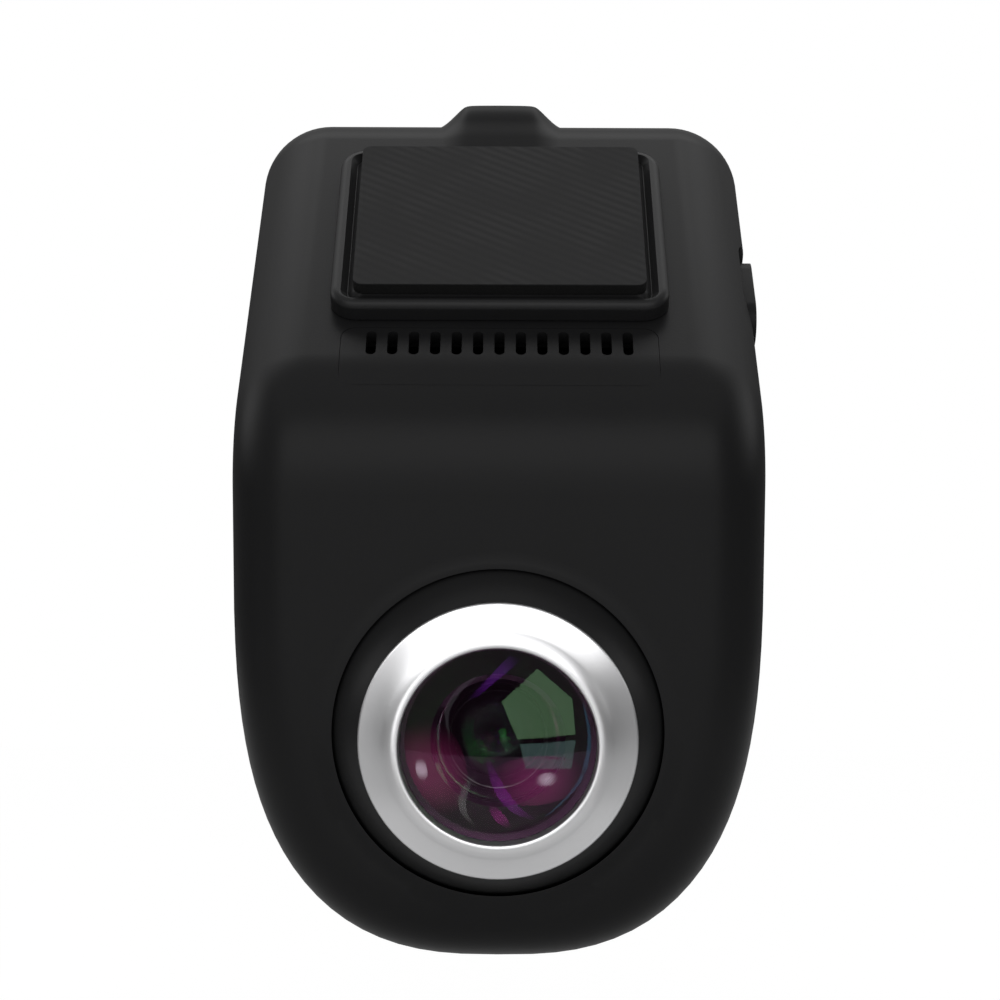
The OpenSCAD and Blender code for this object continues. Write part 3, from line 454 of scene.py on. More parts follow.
def sickle(points, width):
    """Corners of a sheet along a bent line, pointed at both ends."""
    line, inner, outer = flowing(points, 4), [], []
    for k, (x, z) in enumerate(line):
        (x0, z0), (x1, z1) = line[max(k - 1, 0)], line[min(k + 1, len(line) - 1)]
        half = width / 2 * math.sin(math.pi * (k + 0.3) / (len(line) - 0.4)) / math.hypot(x1 - x0, z1 - z0)
        inner.append((x - (z1 - z0) * half, z + (x1 - x0) * half))
        outer.append((x + (z1 - z0) * half, z - (x1 - x0) * half))
    return inner + outer[::-1]


shine_on([front_glass] + inner_lenses, [
    glow_card("window_card", 366, [(6, 5), (35, -65), (149, -62), (141, 8), (73, 66)], (0.24, 1, 0.27), 4),
    glow_card("sill_card", 60, [(7.1, -9.6), (8.9, -18.1), (25, -19.5), (26.1, -9.4)], (0.24, 0.9, 0.45), 2.6),
    glow_card("left_card", 60, oval(-23, -21, 13, 19), (1, 0.2, 0.5), 1.8, True),
    glow_card("left_spot", 59, oval(-25.8, -20, 2.2, 4.6), (0.5, 1, 0.6), 12, True),
    glow_card("right_card", 60, oval(13.2, -23.4, 18, 9.5), (1, 0.2, 0.6), 1.8, True),
    glow_card("right_spot", 59, oval(16.1, -22.3, 4.2, 2.6), (0.5, 1, 0.6), 11, True),
    glow_card("streak_card", 366, [(-59, 5), (-37, 14), (43, 83), (21, 91)], (0.4, 0.1, 1), 1.8, True),
    glow_card("hook_card", 60,
              sickle([(-6.7, -20.1), (-10.1, -24.5), (-12.2, -31.1), (-11.2, -37.3), (-7, -44)], 2.8),
              (0.47, 1, 0.53), 2.4, True),
    glow_card("bow_card", 60, sickle([(-4, -12.5), (-1.2, -21.4), (2.5, -29.2), (7.3, -35.3), (13.8, -39.7)], 4),
              (0.7, 0.1, 1), 1.9, True),
    glow_card("heel_card", 60, sickle([(-2.9, -31.1), (0.5, -37.7), (4.7, -43.1)], 4), (1, 0.1, 0.8), 1.8, True),
    glow_card("rim_card", 60, sickle([(28.3, 5), (31.3, -8.4), (30.3, -19.7), (26.8, -27.9), (17.3, -38.3)], 1.8),
              (0.15, 0.9, 0.8), 1.6),
    glow_card("brow_card", 60, sickle([(-6.6, 12.6), (-12.4, 8), (-16.6, 0.9), (-16, -6.6)], 1.8),
              (0.5, 1, 0.6), 0.8)])
kept_off = bpy.data.collections.new("kept_off")
kept_off.objects.link(front_glass)
kept_off.collection_objects[0].light_linking.link_state = "EXCLUDE"
front_lamp.light_linking.receiver_collection = fill_lamp.light_linking.receiver_collection = kept_off


def dress_nodes(material, *names):
    for name in names:
        dress(frame["nodes"][name], material)


dress_nodes(plastic("black_anodising", (0.008, 0.008, 0.009), 0.35, 0.1),
            "lens_barrel", "lens_retainer", "lens_spacers", "lens_holder")


# Sensor end: behind the lens sit a tinted filter, the sensor in its dark package and a small
# green board with its plug, screwed to posts of the ball.
def metal(name, colour, roughness):
    """Stamped, turned or plated metal with fine marks and a little cloud in its shine."""
    made = bpy.data.materials.new(name)
    tree = Tree(made)
    fine, cloud = tree.noise(0.15, 3), tree.noise(3, 2)
    tree.coat({"Base Color": tree.tones(cloud, [c * 0.88 for c in colour], [min(c * 1.1, 1) for c in colour]),
               "Metallic": 1, "Roughness": roughness + (cloud - 0.5) * 0.12 + (fine - 0.5) * 0.1,
               "Normal": tree.bump(0.25, 0.006, fine)})
    return made


def printed_board(name):
    """Green solder mask over copper tracks, with gilded pads between them."""
    made = bpy.data.materials.new(name)
    tree = Tree(made)
    track = soft_step(tree.cells(1.7, 0.6, "DISTANCE_TO_EDGE"), 0.07, 0.04)
    pads = soft_step(tree.cells(2.3, 0.7), 0.16, 0.13)
    mask = tree.tones(track, (0.005, 0.045, 0.018), (0.018, 0.1, 0.04))
    tree.coat({"Base Color": tree.tones(pads, mask, (0.7, 0.47, 0.16)), "Metallic": pads,
               "Roughness": 0.4 - pads * 0.1, "Normal": tree.bump(0.4, 0.03, track + pads)})
    return made


bright_steel = metal("bright_steel", (0.58, 0.58, 0.6), 0.26)
cream_nylon = plastic("cream_nylon", (0.5, 0.46, 0.36), 0.5)
green_board = printed_board("green_board")
black_chip = plastic("black_chip", (0.02, 0.02, 0.022), 0.55, 0.08)
dress_nodes(coated_glass("filter_coating", (0.75, 0.85, 0.88), (0.5, 0.15, 0.2), 1.52), "infrared_filter")
dress_nodes(black_chip, "image_sensor")
dress_nodes(green_board, "sensor_board")
dress_nodes(bright_steel, "trunnion_pins", "sensor_screws")
dress_nodes(cream_nylon, "sensor_connector")

# Cradle, bushes and friction ring: a dark moulded cradle, screwed behind the socket, holds
# the brass bushes that the ball's pins turn in. A rubber ring gives the tilt its drag.
dress_nodes(plastic("cradle_grey", (0.035, 0.035, 0.038), 0.5), "lens_cradle")
dress_nodes(metal("turned_brass", (0.62, 0.42, 0.16), 0.28), "trunnion_bushes")
dress_nodes(bright_steel, "cradle_screws")
dress_nodes(plastic("black_rubber", (0.012, 0.012, 0.012), 0.75, 0.12), "friction_ring")

# Main board and what is soldered on it: a green board under the leaning face with its
# processor, memory, radio, power parts, switch and sockets, screwed to posts of the housing.
dress_nodes(green_board, "main_board")
dress_nodes(bright_steel, "board_screws")
dress_nodes(cream_nylon, "board_connector", "switch_plunger")
dress_nodes(black_chip, "processor", "memory_chips")
dress_nodes(metal("tinned_steel", (0.55, 0.56, 0.57), 0.32),
            "radio_shield", "card_socket", "tact_switch", "microphone")
dress_nodes(metal("copper_film", (0.72, 0.4, 0.22), 0.4), "radio_antenna")
dress_nodes(plastic("grey_ferrite", (0.05, 0.05, 0.055), 0.6, 0.1), "power_coils")
dress_nodes(plastic("blue_sleeve", (0.015, 0.035, 0.15), 0.35), "supercapacitors")
dress_nodes(plastic("milky_resin", (0.65, 0.65, 0.58), 0.35), "status_led")
dress_nodes(plastic("pipe_resin", (0.5, 0.52, 0.52), 0.2, 0.3, 0.004), "light_pipe")
dress_nodes(metal("speaker_basket", (0.07, 0.07, 0.075), 0.5), "speaker")

# Heat spreader and its pad: a black anodised plate behind the cooling slots, pressed on
# the processor through a soft grey silicone pad.
dress_nodes(metal("black_aluminium", (0.016, 0.016, 0.017), 0.55), "heat_spreader")
dress_nodes(plastic("grey_silicone", (0.2, 0.23, 0.27), 0.7, 0.3), "thermal_pad")

# Sensor ribbon: an amber film with copper tracks that hangs in a loose bow from the sensor's
# plug to the main board's. The real ribbon bends as the lens tilts; here its mesh stays fixed.
ribbon = bpy.data.objects.new("flex_ribbon", frame["nodes"]["sensor_ribbon"].data.copy())
bpy.context.scene.collection.objects.link(ribbon)
pick(ribbon)
bpy.ops.object.mode_set(mode="EDIT")
bpy.ops.mesh.select_all(action="SELECT")
bpy.ops.mesh.remove_doubles(threshold=0.001 * mm)
bpy.ops.mesh.subdivide(number_cuts=1)
bpy.ops.object.mode_set(mode="OBJECT")
bpy.ops.object.shade_smooth_by_angle(angle=math.radians(35))
amber = bpy.data.materials.new("amber_film")
tree = Tree(amber)
lane_pitch = 0.5 * mm
across = tree.node("ShaderNodeSeparateXYZ", None, {0: tree.place()})
copper = soft_step(across.wave(lane_pitch), -0.2, 0.2)
tree.coat({"Base Color": tree.tones(copper, (0.3, 0.11, 0.015), (0.5, 0.22, 0.06)),
           "Roughness": 0.34 - copper * 0.06, "Normal": tree.bump(0.3, 0.02, copper)})
dress(ribbon, amber)


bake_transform(ribbon)
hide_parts("sensor_ribbon")


# Housings: two black moulded shells, all their edges round, that meet in a plane just
# ahead of the rear face. They are held by two screws from the rear, deep in round wells.
def twin_of(piece):
    """A copy of a piece with a mesh of its own."""
    twin = piece.copy()
    twin.data = piece.data.copy()
    bpy.context.scene.collection.objects.link(twin)
    return twin


def wrapped(name, corners, r, segments):
    """A round-edged block: balls at its corners, turned square to the edges, and a skin over all."""
    bpy.ops.object.select_all(action="DESELECT")
    bpy.ops.mesh.primitive_uv_sphere_add(segments=segments, ring_count=segments // 2, radius=r)
    first = bpy.context.object
    first.name = name
    first.location, first.rotation_euler = corners[0]
    for corner, turn in corners[1:]:
        twin = twin_of(first)
        twin.location, twin.rotation_euler = corner, turn
        twin.select_set(True)
    bpy.ops.object.join()
    bpy.ops.object.transform_apply(location=True, rotation=True, scale=True)
    bpy.ops.object.mode_set(mode="EDIT")
    bpy.ops.mesh.select_all(action="SELECT")
    bpy.ops.mesh.convex_hull(join_triangles=False)
    bpy.ops.mesh.select_all(action="SELECT")
    bpy.ops.mesh.dissolve_limited(angle_limit=math.radians(0.3))
    bpy.ops.object.mode_set(mode="OBJECT")
    return first


def combine(piece, tool, operation="DIFFERENCE"):
    """Cuts a tool out of a piece, or joins it on, and takes the tool away."""
    change = piece.modifiers.new("change", "BOOLEAN")
    change.object, change.operation, change.solver = tool, operation, "EXACT"
    pick(piece)
    bpy.ops.object.modifier_apply(modifier=change.name)
    bpy.data.objects.remove(tool)


body_w, corner_r, crease_r, wall, hair = 50, 7.2, 16, 2, 0.001
slant, rear_lean = math.radians(38), math.radians(14)
slope_l, crease_z, flank_z, chin_z, chin_power = 38.5, 26.2, 15.9, 22.9, 3.1
core_x, core_h = body_w / 2 - corner_r, flank_z + chin_z - corner_r
top_y = corner_r + slope_l * math.cos(slant)
top_z = crease_z + slope_l * math.sin(slant)
slope_at = Vector((0, corner_r - corner_r * math.sin(slant), crease_z + corner_r * math.cos(slant)))
bench_at = Vector((0, front_y, lens_at.z))


def rear_y(z):
    return top_y - (top_z - z) * math.tan(rear_lean)


def rolled(turn):
    """The turn of a ball that lies on its side, rolled back from the front."""
    return (Matrix.Rotation(-turn, 3, "X") @ Matrix.Rotation(math.pi / 2, 3, "Y")).to_euler()


def core_corners(steps, crease_r=crease_r):
    """Corners of the housing's inner core, each with the turn that sets a ball square to an edge there."""
    corners = []
    for k in range(2 * steps + 1):
        t = math.radians(90 * k / steps)
        side, c, s = math.copysign(1, math.cos(t)), abs(math.cos(t)), math.sin(t)
        x, z = side * core_x * c ** (2 / chin_power), flank_z - core_h * s ** (2 / chin_power)
        turn = math.atan2(-s ** (2 - 2 / chin_power) / core_h, side * c ** (2 - 2 / chin_power) / core_x)
        corners += [((x, y, z), (math.pi / 2, -turn, 0)) for y in (corner_r, rear_y(z))]
    bend, bend_r = math.pi / 2 - slant, crease_r - corner_r
    for x in (-core_x, core_x):
        for k in range(steps // 2 + 1):
            t = bend * k / (steps // 2)
            y, z = bend_r * (1 - math.cos(t)), bend_r * (math.sin(t) - math.tan(bend / 2))
            corners.append(((x, corner_r + y, crease_z + z), rolled(t)))
        high, rear = (x, top_y, top_z), (x, rear_y(flank_z), flank_z)
        corners += [(high, rolled(bend)), (high, rolled(math.pi + rear_lean)), (rear, rolled(math.pi + rear_lean))]
    return corners


def box(size, place, lean=0):
    """A plain block, as a start for a cut or a plate."""
    bpy.ops.object.select_all(action="DESELECT")
    bpy.ops.mesh.primitive_cube_add(size=1, location=place, rotation=(lean, 0, 0))
    block = bpy.context.object
    block.scale = size
    bpy.ops.object.transform_apply(location=False, rotation=False, scale=True)
    return block


def round_edges(block, r, segments, chosen):
    """Rounds the edges of a block that a test of their two ends chooses."""
    bpy.ops.object.mode_set(mode="EDIT")
    bpy.ops.mesh.select_all(action="DESELECT")
    bpy.ops.object.mode_set(mode="OBJECT")
    for edge in block.data.edges:
        edge.select = chosen(*(block.data.vertices[v].co for v in edge.vertices))
    bpy.ops.object.mode_set(mode="EDIT")
    bpy.ops.mesh.select_mode(type="EDGE")
    bpy.ops.mesh.bevel(offset=r, segments=segments, affect="EDGES")
    bpy.ops.object.mode_set(mode="OBJECT")
    return block


def round_upright(block, r, segments=8):
    """Rounds the four edges of a block that run along its own z axis."""
    return round_edges(block, r, segments, lambda a, b: abs(b.z - a.z) > 0.9 * (b - a).length)


def on_slope(x, s, n):
    """A place on the leaning face: across, up from the crease and out of the face."""
    c, d = math.cos(slant), math.sin(slant)
    return slope_at + Vector((x, s * c - n * d, s * d + n * c))


def slope_plate(w, l, r, middle, low, high):
    """A plate with round corners, square to the leaning face, between two heights."""
    return round_upright(box((w, l, high - low), on_slope(0, middle, (low + high) / 2), slant), r)


def true_round(piece):
    """Gives the flat faces and the round edges of the top their exact normals, to shade without bands."""
    core, touch = bmesh.new(), 0.03 * mm
    for corner, turn in core_corners(96):
        core.verts.new(bench_at + Vector(corner) * mm)
    bmesh.ops.convex_hull(core, input=core.verts)
    centre_of = BVHTree.FromBMesh(core)
    core.free()
    mesh = piece.data
    normals = [corner.vector.copy() for corner in mesh.corner_normals]
    for face in mesh.polygons:
        for k, v in zip(face.loop_indices, face.vertices):
            at = mesh.vertices[v].co
            near = centre_of.find_nearest(at)[0]
            out = at - near
            plain = max(-out.y, out.dot(rear_out)) > 0.9999 * corner_r * mm
            if ((plain or near.z > bench_at.z + flank_z * mm) and abs(out.length - corner_r * mm) < touch
                    and face.normal.dot(out) > 0.85 * out.length):
                normals[k] = out.normalized()
    mesh.normals_split_custom_set(normals)


shell = wrapped("front_shell", core_corners(24), corner_r, 64)
block = twin_of(shell)
combine(shell, wrapped("hollow", core_corners(12, corner_r), corner_r - wall, 32))
seam_size, seam_gap = 200, 0.05
seam_at = Vector((0, top_y, top_z))
rear_shell = twin_of(shell)
rear_shell.name = "rear_shell"
rear_out = Vector((0, math.cos(rear_lean), -math.sin(rear_lean)))
combine(shell, box((seam_size,) * 3, seam_at + rear_out * seam_size / 2, -rear_lean))
combine(rear_shell, box((seam_size,) * 3, seam_at - rear_out * (seam_size / 2 - seam_gap), -rear_lean))

# Socket: the round opening for the lens ball in the front face, with a fine gap round the
# ball and a low flare raised about it.
flare_h, flare_r, flare_sink, flare_lap, flare_w, ball_gap = 0.4, 19, 0.8, 0.9, 3, 0.35
flare_in_r = ball_r - flare_lap
flare_core = flare_in_r - flare_w
flare = turned("flare", [(flare_core, wall), (flare_core, -flare_h), (flare_in_r, -flare_h),
                         (flare_r, flare_sink), (flare_r, wall), (flare_core, wall)], 128)
flare.rotation_euler = (lens_lean, 0, 0)
combine(shell, flare, "UNION")
bpy.ops.object.select_all(action="DESELECT")
bpy.ops.mesh.primitive_uv_sphere_add(segments=160, ring_count=80, radius=ball_r + ball_gap,
                                     location=(0, ball_back / mm, 0), rotation=(lens_lean, 0, 0))
combine(shell, bpy.context.object)

# Hump: a low tongue over the power inlet that carries the leaning face on past the round top
# edge. It climbs gently, and its flanks run straight down into the face.
plate_s, plate_l, hump_gap = 9, 25, 0.4
hump_s, hump_ramp, hump_h = plate_s + plate_l + hump_gap, 8.4, 0.95
hump_half, hump_spread, hump_rear, hump_drop = 3.75, 2.6, 43.4, 1.5
hump_soft, hump_power, hump_sink, hump_under = 0.4, 1.15, 0.03, (0, -1.5, -1.8)
hump_cells, hump_w, hump_l = 64, 16, 11.2


def ease(k):
    k = min(max(k, 0), 1)
    return k * k * (3 - 2 * k)


def climb(k, bend=0.2):
    """A straight rise from 0 to 1 with a short bend at either end."""
    k = min(max(k, 0), 1)
    near = min(k, 1 - k)
    part = (near ** 2 / bend if near < bend else 2 * near - bend) / 2 / (1 - bend)
    return part if k < 0.5 else 1 - part


bpy.ops.object.select_all(action="DESELECT")
bpy.ops.mesh.primitive_grid_add(x_subdivisions=hump_cells, y_subdivisions=hump_cells, size=1)
hump = bpy.context.object
for point in hump.data.vertices:
    x, s = point.co.x * hump_w, hump_s - hump_gap + (point.co.y + 0.5) * hump_l
    off = abs(x) - hump_half
    flank = (1 - min((off + math.hypot(off, hump_soft)) / 2 / hump_spread, 1)) ** hump_power
    rise = climb((s - hump_s) / hump_ramp) * (1 - ease((s - hump_rear) / hump_drop))
    over = max(s - slope_l, 0)
    fall = corner_r - math.sqrt(corner_r ** 2 - over ** 2)
    point.co = (x, s, hump_h * flank * rise - fall * (1 - flank * rise) - hump_sink)
bpy.ops.object.mode_set(mode="EDIT")
bpy.ops.mesh.select_all(action="SELECT")
bpy.ops.mesh.extrude_region_move(TRANSFORM_OT_translate={"value": hump_under})
bpy.ops.mesh.select_all(action="SELECT")
bpy.ops.mesh.normals_make_consistent(inside=False)
bpy.ops.object.mode_set(mode="OBJECT")
hump.location, hump.rotation_euler = slope_at, (slant, 0, 0)
combine(shell, hump, "UNION")

# Openings of the front housing: the seat of the vent panel, the button's pocket and hole,
# the card's slot and the mouth of the power inlet.
panel_w, panel_l, panel_t, panel_r, panel_gap, panel_ledge = 29.7, 7.6, 1.3, 1.4, 0.05, 0.4
panel_top, cut_deep, cut_high = plate_s - 1, 4, 2
panel_s = panel_top - panel_l / 2
for spare, deep in ((panel_gap, panel_t), (-panel_ledge, cut_deep)):
    combine(shell, slope_plate(panel_w + 2 * spare, panel_l + 2 * spare, panel_r, panel_s, -deep, cut_high))
button_l, button_w, button_s, button_n = 10.4, 5.2, 21.1, 7.8
pocket_margin, pocket_d, pocket_out, button_gap, hole_d, hole_out = 1.7, 1, 3, 0.2, 8, 1


def side_pill(w, l, low, high):
    """A block with half-round ends on the right side, its long way up the slope, between two depths."""
    block = round_upright(box((w, l, high - low), (0, 0, 0)), w / 2 - hair, 16)
    turn = Matrix.Rotation(slant, 4, "X") @ Matrix.Rotation(math.pi / 2, 4, "Y")
    block.matrix_world = Matrix.Translation(on_slope(body_w / 2 + (low + high) / 2, button_s, -button_n)) @ turn
    return block


for spare, deep, out in ((pocket_margin, pocket_d, pocket_out), (button_gap, hole_d, hole_out)):
    combine(shell, side_pill(button_w + 2 * spare, button_l + 2 * spare, -deep, out))
card_s, card_n, card_w, card_t, card_gap, card_cut = 19, -9.3, 11, 0.8, 0.4, 12
card_mouth = (card_cut, card_w + 2 * card_gap, card_t + 2 * card_gap)
combine(shell, box(card_mouth, on_slope(-body_w / 2, card_s, card_n), slant))
usb_w, usb_h, usb_gap, usb_s, usb_n, mouth_l, mouth_r = 7.6, 2.7, 0.3, 39.6, -5.65, 12, 0.9
usb_mouth = (usb_w + 2 * usb_gap, usb_h + 2 * usb_gap, mouth_l)
along_rear, along_slope = -math.pi / 2 - rear_lean, slant - math.pi / 2
for part in (shell, rear_shell):
    mouth = box(usb_mouth, on_slope(0, usb_s + mouth_l / 2, usb_n), along_slope)
    combine(part, round_upright(mouth, mouth_r))


# Holes of the rear housing: two wells for the housing screws, the speaker's seven holes,
# and at the upper edge the light pipe's hole and the microphone's.
def rod(r, l, place, lean, segments=32):
    """A round bar along its own z axis, starting at a place and leaning about x."""
    bpy.ops.object.select_all(action="DESELECT")
    bpy.ops.mesh.primitive_cylinder_add(vertices=segments, radius=r, depth=l, rotation=(lean, 0, 0))
    bar = bpy.context.object
    bar.location = Vector(place) + bar.matrix_world.to_3x3() @ Vector((0, 0, l / 2))
    return bar


post_x, post_z, post_r, post_floor, seat_deep, well_r, well_l = 19, 22, 2.3, 2, 3, 1.68, 12
post_seat = rear_y(post_z) + seat_deep
speaker_drop, speaker_spread, speaker_hole_r, hole_l = 32, 4.2, 0.6, 20
pipe_x, nose_s, nose_n, pipe_hole_r, mic_hole_r = 13, slope_l - 2, -8.8, 1.05, 0.5
for x in (-post_x, post_x):
    post_at = (x, post_seat - post_floor, post_z)
    combine(rear_shell, rod(post_r, seat_deep + post_floor, post_at, lens_lean), "UNION")
    combine(rear_shell, rod(well_r, well_l, (x, post_seat, post_z), lens_lean))
down_rear = Vector((0, -math.sin(rear_lean), -math.cos(rear_lean)))
for k in range(7):
    turn = math.radians(60 * k)
    spread = 0 if k == 6 else speaker_spread
    place = seam_at + down_rear * (speaker_drop + spread * math.sin(turn))
    combine(rear_shell, rod(speaker_hole_r, hole_l, place + Vector((spread * math.cos(turn), 0, 0)), along_rear))
for x, r in ((pipe_x, pipe_hole_r), (-pipe_x, mic_hole_r)):
    combine(rear_shell, rod(r, hole_l, on_slope(x, nose_s, nose_n), along_slope))

set_down(shell, bench_at, 0)
set_down(rear_shell, bench_at, 0)
true_round(shell)
true_round(rear_shell)
housing_black = plastic("housing_black", (0.0112, 0.0112, 0.0117), 0.34)
for part, node in ((shell, "front_housing"), (rear_shell, "rear_housing")):
    dress(part, housing_black)
    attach(part, "camera")
    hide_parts(node)


# Vent panel: a thin moulded plate let flush into the leaning face, with a row of upright
# cooling slots near its upper edge. It is glued on a ledge in the front housing.
def soften(piece, width, segments=2, angle=40):
    """Applies a piece's place and takes the sharpness off its edges, as a mould does."""
    pick(piece)
    bpy.ops.object.transform_apply(location=True, rotation=True, scale=True)
    edge = piece.modifiers.new("edge", "BEVEL")
    edge.width, edge.segments, edge.limit_method = width, segments, "ANGLE"
    edge.angle_limit = math.radians(angle)
    bpy.ops.object.modifier_apply(modifier=edge.name)


vent_count, vent_pitch, vent_w, vent_l, vent_inset = 13, 2, 0.95, 3.3, 0.5
vent_s, vent_r = panel_top - vent_inset - vent_l / 2, vent_w / 2 - hair
panel = slope_plate(panel_w, panel_l, panel_r, panel_s, -panel_t, cut_high)
panel.name = "slot_panel"
combine(panel, block, "INTERSECT")
for k in range(vent_count):
    x = (k - (vent_count - 1) / 2) * vent_pitch
    combine(panel, round_upright(box((vent_w, vent_l, cut_deep), on_slope(x, vent_s, 0), slant), vent_r))
soften(panel, 0.06)
set_down(panel, bench_at, 0, flat=True)
true_round(panel)
dress(panel, housing_black)
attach(panel, "camera")
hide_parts("vent_panel")

# Mount bracket: a moulded plate with a rounded rim, stuck to the windscreen by its pad.
# A moat runs round the pad inside the rim. A dovetail channel in the underside takes the
# camera's rail and is closed at the front.
plate_w, plate_h, plate_gap, plate_r, rim_r = 32.2, 2.1, 0.15, 2.6, 0.75
rail_w, rail_h, rail_cut, rail_gap, rail_stop = 16.4, 1.2, 1, 0.1, 2.4
plate_mid = plate_s + plate_l / 2
bracket = slope_plate(plate_w, plate_l, plate_r, plate_mid, plate_gap, plate_h)
bracket.name = "bracket"
half_h = (plate_h - plate_gap) / 2
round_edges(bracket, rim_r, 6, lambda a, b: min(a.z, b.z) > half_h - hair)
pad_w, pad_l, pad_r, pad_t, film_t = 27.7, 22.2, 0.9, 1.1, 0.15
moat_x, moat_s, moat_d, moat_r, moat_floor, moat_over = 1.2, 0.5, 0.65, 1.2, 0.1, 0.01


def taper(w, l, top_w, top_l):
    """A plate in the moat's depth whose top has another size than its foot."""
    block = slope_plate(w, l, moat_r, plate_mid, plate_h - moat_d, plate_h + moat_over)
    for point in block.data.vertices:
        if point.co.z > 0:
            point.co = (point.co.x * top_w / w, point.co.y * top_l / l, point.co.z)
    return block


moat = taper(pad_w + moat_x, pad_l + moat_s, pad_w + 2 * moat_x, pad_l + 2 * moat_s)
combine(moat, taper(pad_w + moat_x - moat_floor, pad_l + moat_s - moat_floor, pad_w, pad_l))
combine(bracket, moat)
channel_h, channel_under, foot = rail_h + rail_gap, 1, rail_w / 2 + rail_gap
channel_at = on_slope(0, plate_mid + rail_stop, (channel_h - channel_under) / 2)
channel = box((2, plate_l, channel_h + channel_under), channel_at, slant)
for point in channel.data.vertices:
    point.co.x = math.copysign(foot + (rail_cut if point.co.z > 0 else -rail_cut / rail_h), point.co.x)
combine(bracket, channel)
soften(bracket, 0.12, 2, 50)
set_down(bracket, bench_at, 0, flat=True)
dress(bracket, plastic("bracket_black", (0.012, 0.012, 0.0125), 0.38, gloss=0.28))
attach(bracket, "mount")
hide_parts("mount_bracket")

# Adhesive pad and its film: a die-cut strip of black closed-cell foam tape, and on it the
# satin release film with fine slanting lines that is peeled off before use.
pad = slope_plate(pad_w, pad_l, pad_r, plate_mid, plate_h, plate_h + pad_t)
pad.name = "foam_pad"
soften(pad, 0.12)
set_down(pad, bench_at, 0, flat=True)
foam = bpy.data.materials.new("black_foam")
tree = Tree(foam)
cells = tree.cells(0.22)
tree.coat({"Base Color": (0.005, 0.005, 0.005, 1), "Roughness": 0.75 + cells * 0.2, "Specular IOR Level": 0.2,
           "Normal": tree.bump(0.6, 0.03, cells)})
dress(pad, foam)
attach(pad, "mount")
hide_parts("adhesive_pad")

film_piece = slope_plate(pad_w, pad_l, pad_r, plate_mid, plate_h + pad_t, plate_h + pad_t + film_t)
film_piece.name = "release_film"
soften(film_piece, 0.05)
set_down(film_piece, bench_at, 0, flat=True)
satin_film = bpy.data.materials.new("satin_film")
tree = Tree(satin_film)


def slope_axes(tree):
    """Wires for the place across, up and out of the leaning face, in millimetres."""
    off = tree.node("ShaderNodeVectorMath", {"operation": "SUBTRACT"}, {
        0: tree.place(), 1: bench_at + slope_at * mm})
    flat = tree.node("ShaderNodeMapping", None, {
        "Vector": off, "Rotation": (-slant, 0, 0), "Scale": (1 / mm,) * 3})
    axes = tree.node("ShaderNodeSeparateXYZ", None, {0: flat})
    return axes, axes.other("Y"), axes.other("Z")


x, s, n = slope_axes(tree)
line_pitch, line_turn = 1, math.radians(32)
lines = (x * math.sin(line_turn) + s * math.cos(line_turn)).wave(line_pitch)
speck, worn = tree.noise(0.25, 3), tree.noise(7, 1)
ridge = (lines * 0.5 + 0.5) * (0.3 + 0.7 * soft_step(worn, 0.4, 0.6))
tree.coat({"Base Color": tree.tones(ridge, (0.0155, 0.0155, 0.016), (0.018, 0.018, 0.0185)),
           "Roughness": 0.52 + speck * 0.08 - ridge * 0.05, "Specular IOR Level": 0.13,
           "Normal": tree.bump(0.4, 0.03, ridge + speck * 0.15)})
dress(film_piece, satin_film)
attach(film_piece, "mount")
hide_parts("pad_film")

# Side button: a long rounded cap in a pocket of the right side, on an inner rim that
# keeps it in, sprung by the switch behind it.
rim_t, button_rim, button_out, rim_gap = 0.8, 1, 0.4, 0.15
rim_top = -wall - rim_gap
cap = side_pill(button_w, button_l, rim_top - rim_t, button_out)
cap.name = "button_cap"
cap_rim = side_pill(button_w + 2 * button_rim, button_l + 2 * button_rim, rim_top - rim_t, rim_top)
combine(cap, cap_rim, "UNION")
soften(cap, 0.35, 4)
set_down(cap, bench_at, 0)
dress(cap, plastic("button_black", (0.0105, 0.0105, 0.011), 0.4))
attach(cap, "button")
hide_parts("side_button")

# Slide rail: a dovetail moulding on the leaning face that the bracket's channel runs on. Four
# steel screws with cross recesses hold it, their heads level with its top.
dress_nodes(plastic("rail_black", (0.013, 0.013, 0.0135), 0.42), "slide_rail")


def cross_screws(name, length, places, lean):
    """Screws with a cross recess, by the undersides of their heads, joined in one piece."""
    head_r, head_h, shank_r, shank_lap = 1.5, 1, 0.8, 0.3
    cross_w, cross_l, cross_h = 0.42, 1.9, 1.2
    first = rod(head_r, head_h, (0, 0, 0), 0, 40)
    first.name = name
    combine(first, rod(shank_r, length + shank_lap, (0, 0, -length), 0, 24), "UNION")
    for size in ((cross_w, cross_l, cross_h), (cross_l, cross_w, cross_h)):
        combine(first, box(size, (0, 0, head_h)))
    soften(first, 0.13, 3)
    for place in places[1:]:
        twin = twin_of(first)
        twin.location, twin.rotation_euler = place, (lean, 0, 0)
        twin.select_set(True)
    first.location, first.rotation_euler = places[0], (lean, 0, 0)
    bpy.ops.object.join()
    bpy.ops.object.transform_apply(location=True, rotation=True, scale=True)
    set_down(first, bench_at, 0)
    return first


screw_x, screw_s, screw_n, rail_screw_l, shell_screw_l = 6, (14.21, 29.61), 0.2, 2.8, 12
rail_hold = cross_screws("rail_fixings", rail_screw_l, [
    on_slope(x, s, screw_n) for x in (-screw_x, screw_x) for s in screw_s], slant)
dress(rail_hold, bright_steel)
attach(rail_hold, "camera")
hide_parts("rail_screws")

# Housing screws: two long black screws from the rear, deep in their wells, that draw the
# rear housing on to the posts of the front one.
shell_hold = cross_screws("housing_fixings", shell_screw_l, [
    (x, post_seat, post_z) for x in (-post_x, post_x)], lens_lean)
dress(shell_hold, metal("black_zinc", (0.06, 0.06, 0.065), 0.34))
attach(shell_hold, "camera")
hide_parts("housing_screws")

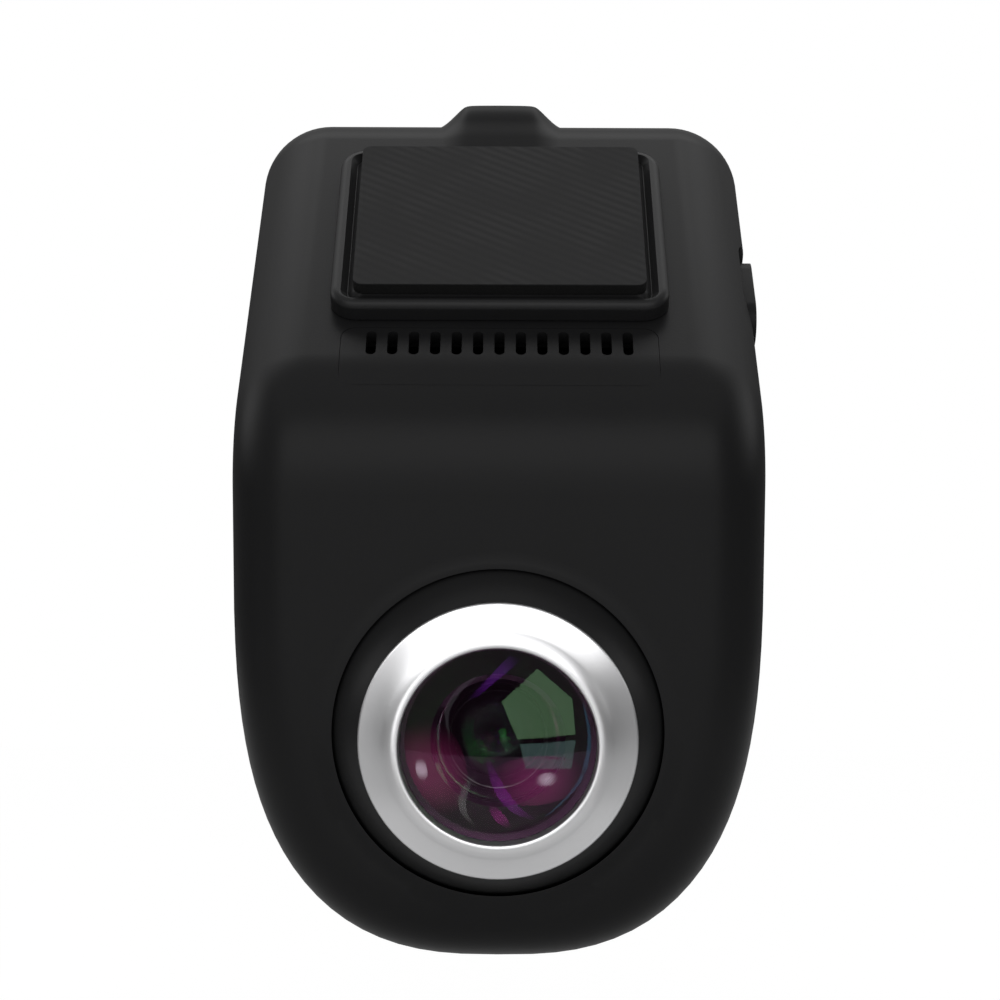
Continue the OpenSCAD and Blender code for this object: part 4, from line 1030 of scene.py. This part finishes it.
# Power inlet: a drawn steel shell with a black tongue in its mouth, soldered to the board
# under the hump.
inlet = bpy.data.materials.new("inlet_steel")
tree = Tree(inlet)
x, s, n = slope_axes(tree)
tongue_half_w, tongue_half_h, floor_deep = 1.95, 0.33, 1.15
tongue = (abs(x) < tongue_half_w) * (abs(n - usb_n) < tongue_half_h)
core = 1 - (1 - tongue) * (1 - (s < usb_s + floor_deep))
fine = tree.noise(0.15, 3)
tree.coat({"Base Color": tree.tones(core, (0.5, 0.5, 0.52), (0.012, 0.012, 0.013)), "Metallic": 1 - core,
           "Roughness": 0.28 + core * 0.15 + fine * 0.08, "Normal": tree.bump(0.2, 0.006, fine)})
dress_nodes(inlet, "usb_inlet")

# Memory card: a thin black card with a notched edge, a raised grip at its outer end and gold
# contacts under its inner end. It slides through the left side into its socket.
card_l, card_x, card_r = 15, -15.1, 0.6
card = round_upright(box((card_l, card_w, card_t), on_slope(card_x, card_s, card_n), slant), card_r)
card.name = "slip_card"
card_in, card_out, card_edge = card_x + card_l / 2, card_x - card_l / 2, card_s + card_w / 2
step_size, notch_size, notch_x = (5.6, 2.6, 2), (1.1, 1.6, 2), card_x + 2.4
grip_size, grip_x = (0.9, card_w - 1.6, 0.5), card_out + 1.1
combine(card, box(step_size, on_slope(card_in, card_edge, card_n), slant))
combine(card, box(notch_size, on_slope(notch_x, card_edge, card_n), slant))
combine(card, box(grip_size, on_slope(grip_x, card_s, card_n + card_t / 2), slant), "UNION")
soften(card, 0.1)
set_down(card, bench_at, 0, flat=True)
card_face = bpy.data.materials.new("card_black")
tree = Tree(card_face)
x, s, n = slope_axes(tree)
contact_pitch, contact_far, contact_near, under = 1.1, card_in - 3.6, card_in - 0.7, card_n - card_t / 2 + 0.02
lanes = (s - card_s).wave(contact_pitch) > -0.3
gold = (x > contact_far) * (x < contact_near) * (n < under) * lanes
fine = tree.noise(0.12, 3)
tree.coat({"Base Color": tree.tones(gold, (0.014, 0.014, 0.015), (0.75, 0.52, 0.2)), "Metallic": gold,
           "Roughness": 0.45 - gold * 0.2 + (fine - 0.5) * 0.1, "Normal": tree.bump(0.4, 0.01, fine)})
dress(card, card_face)
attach(card, "card")
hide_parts("memory_card")
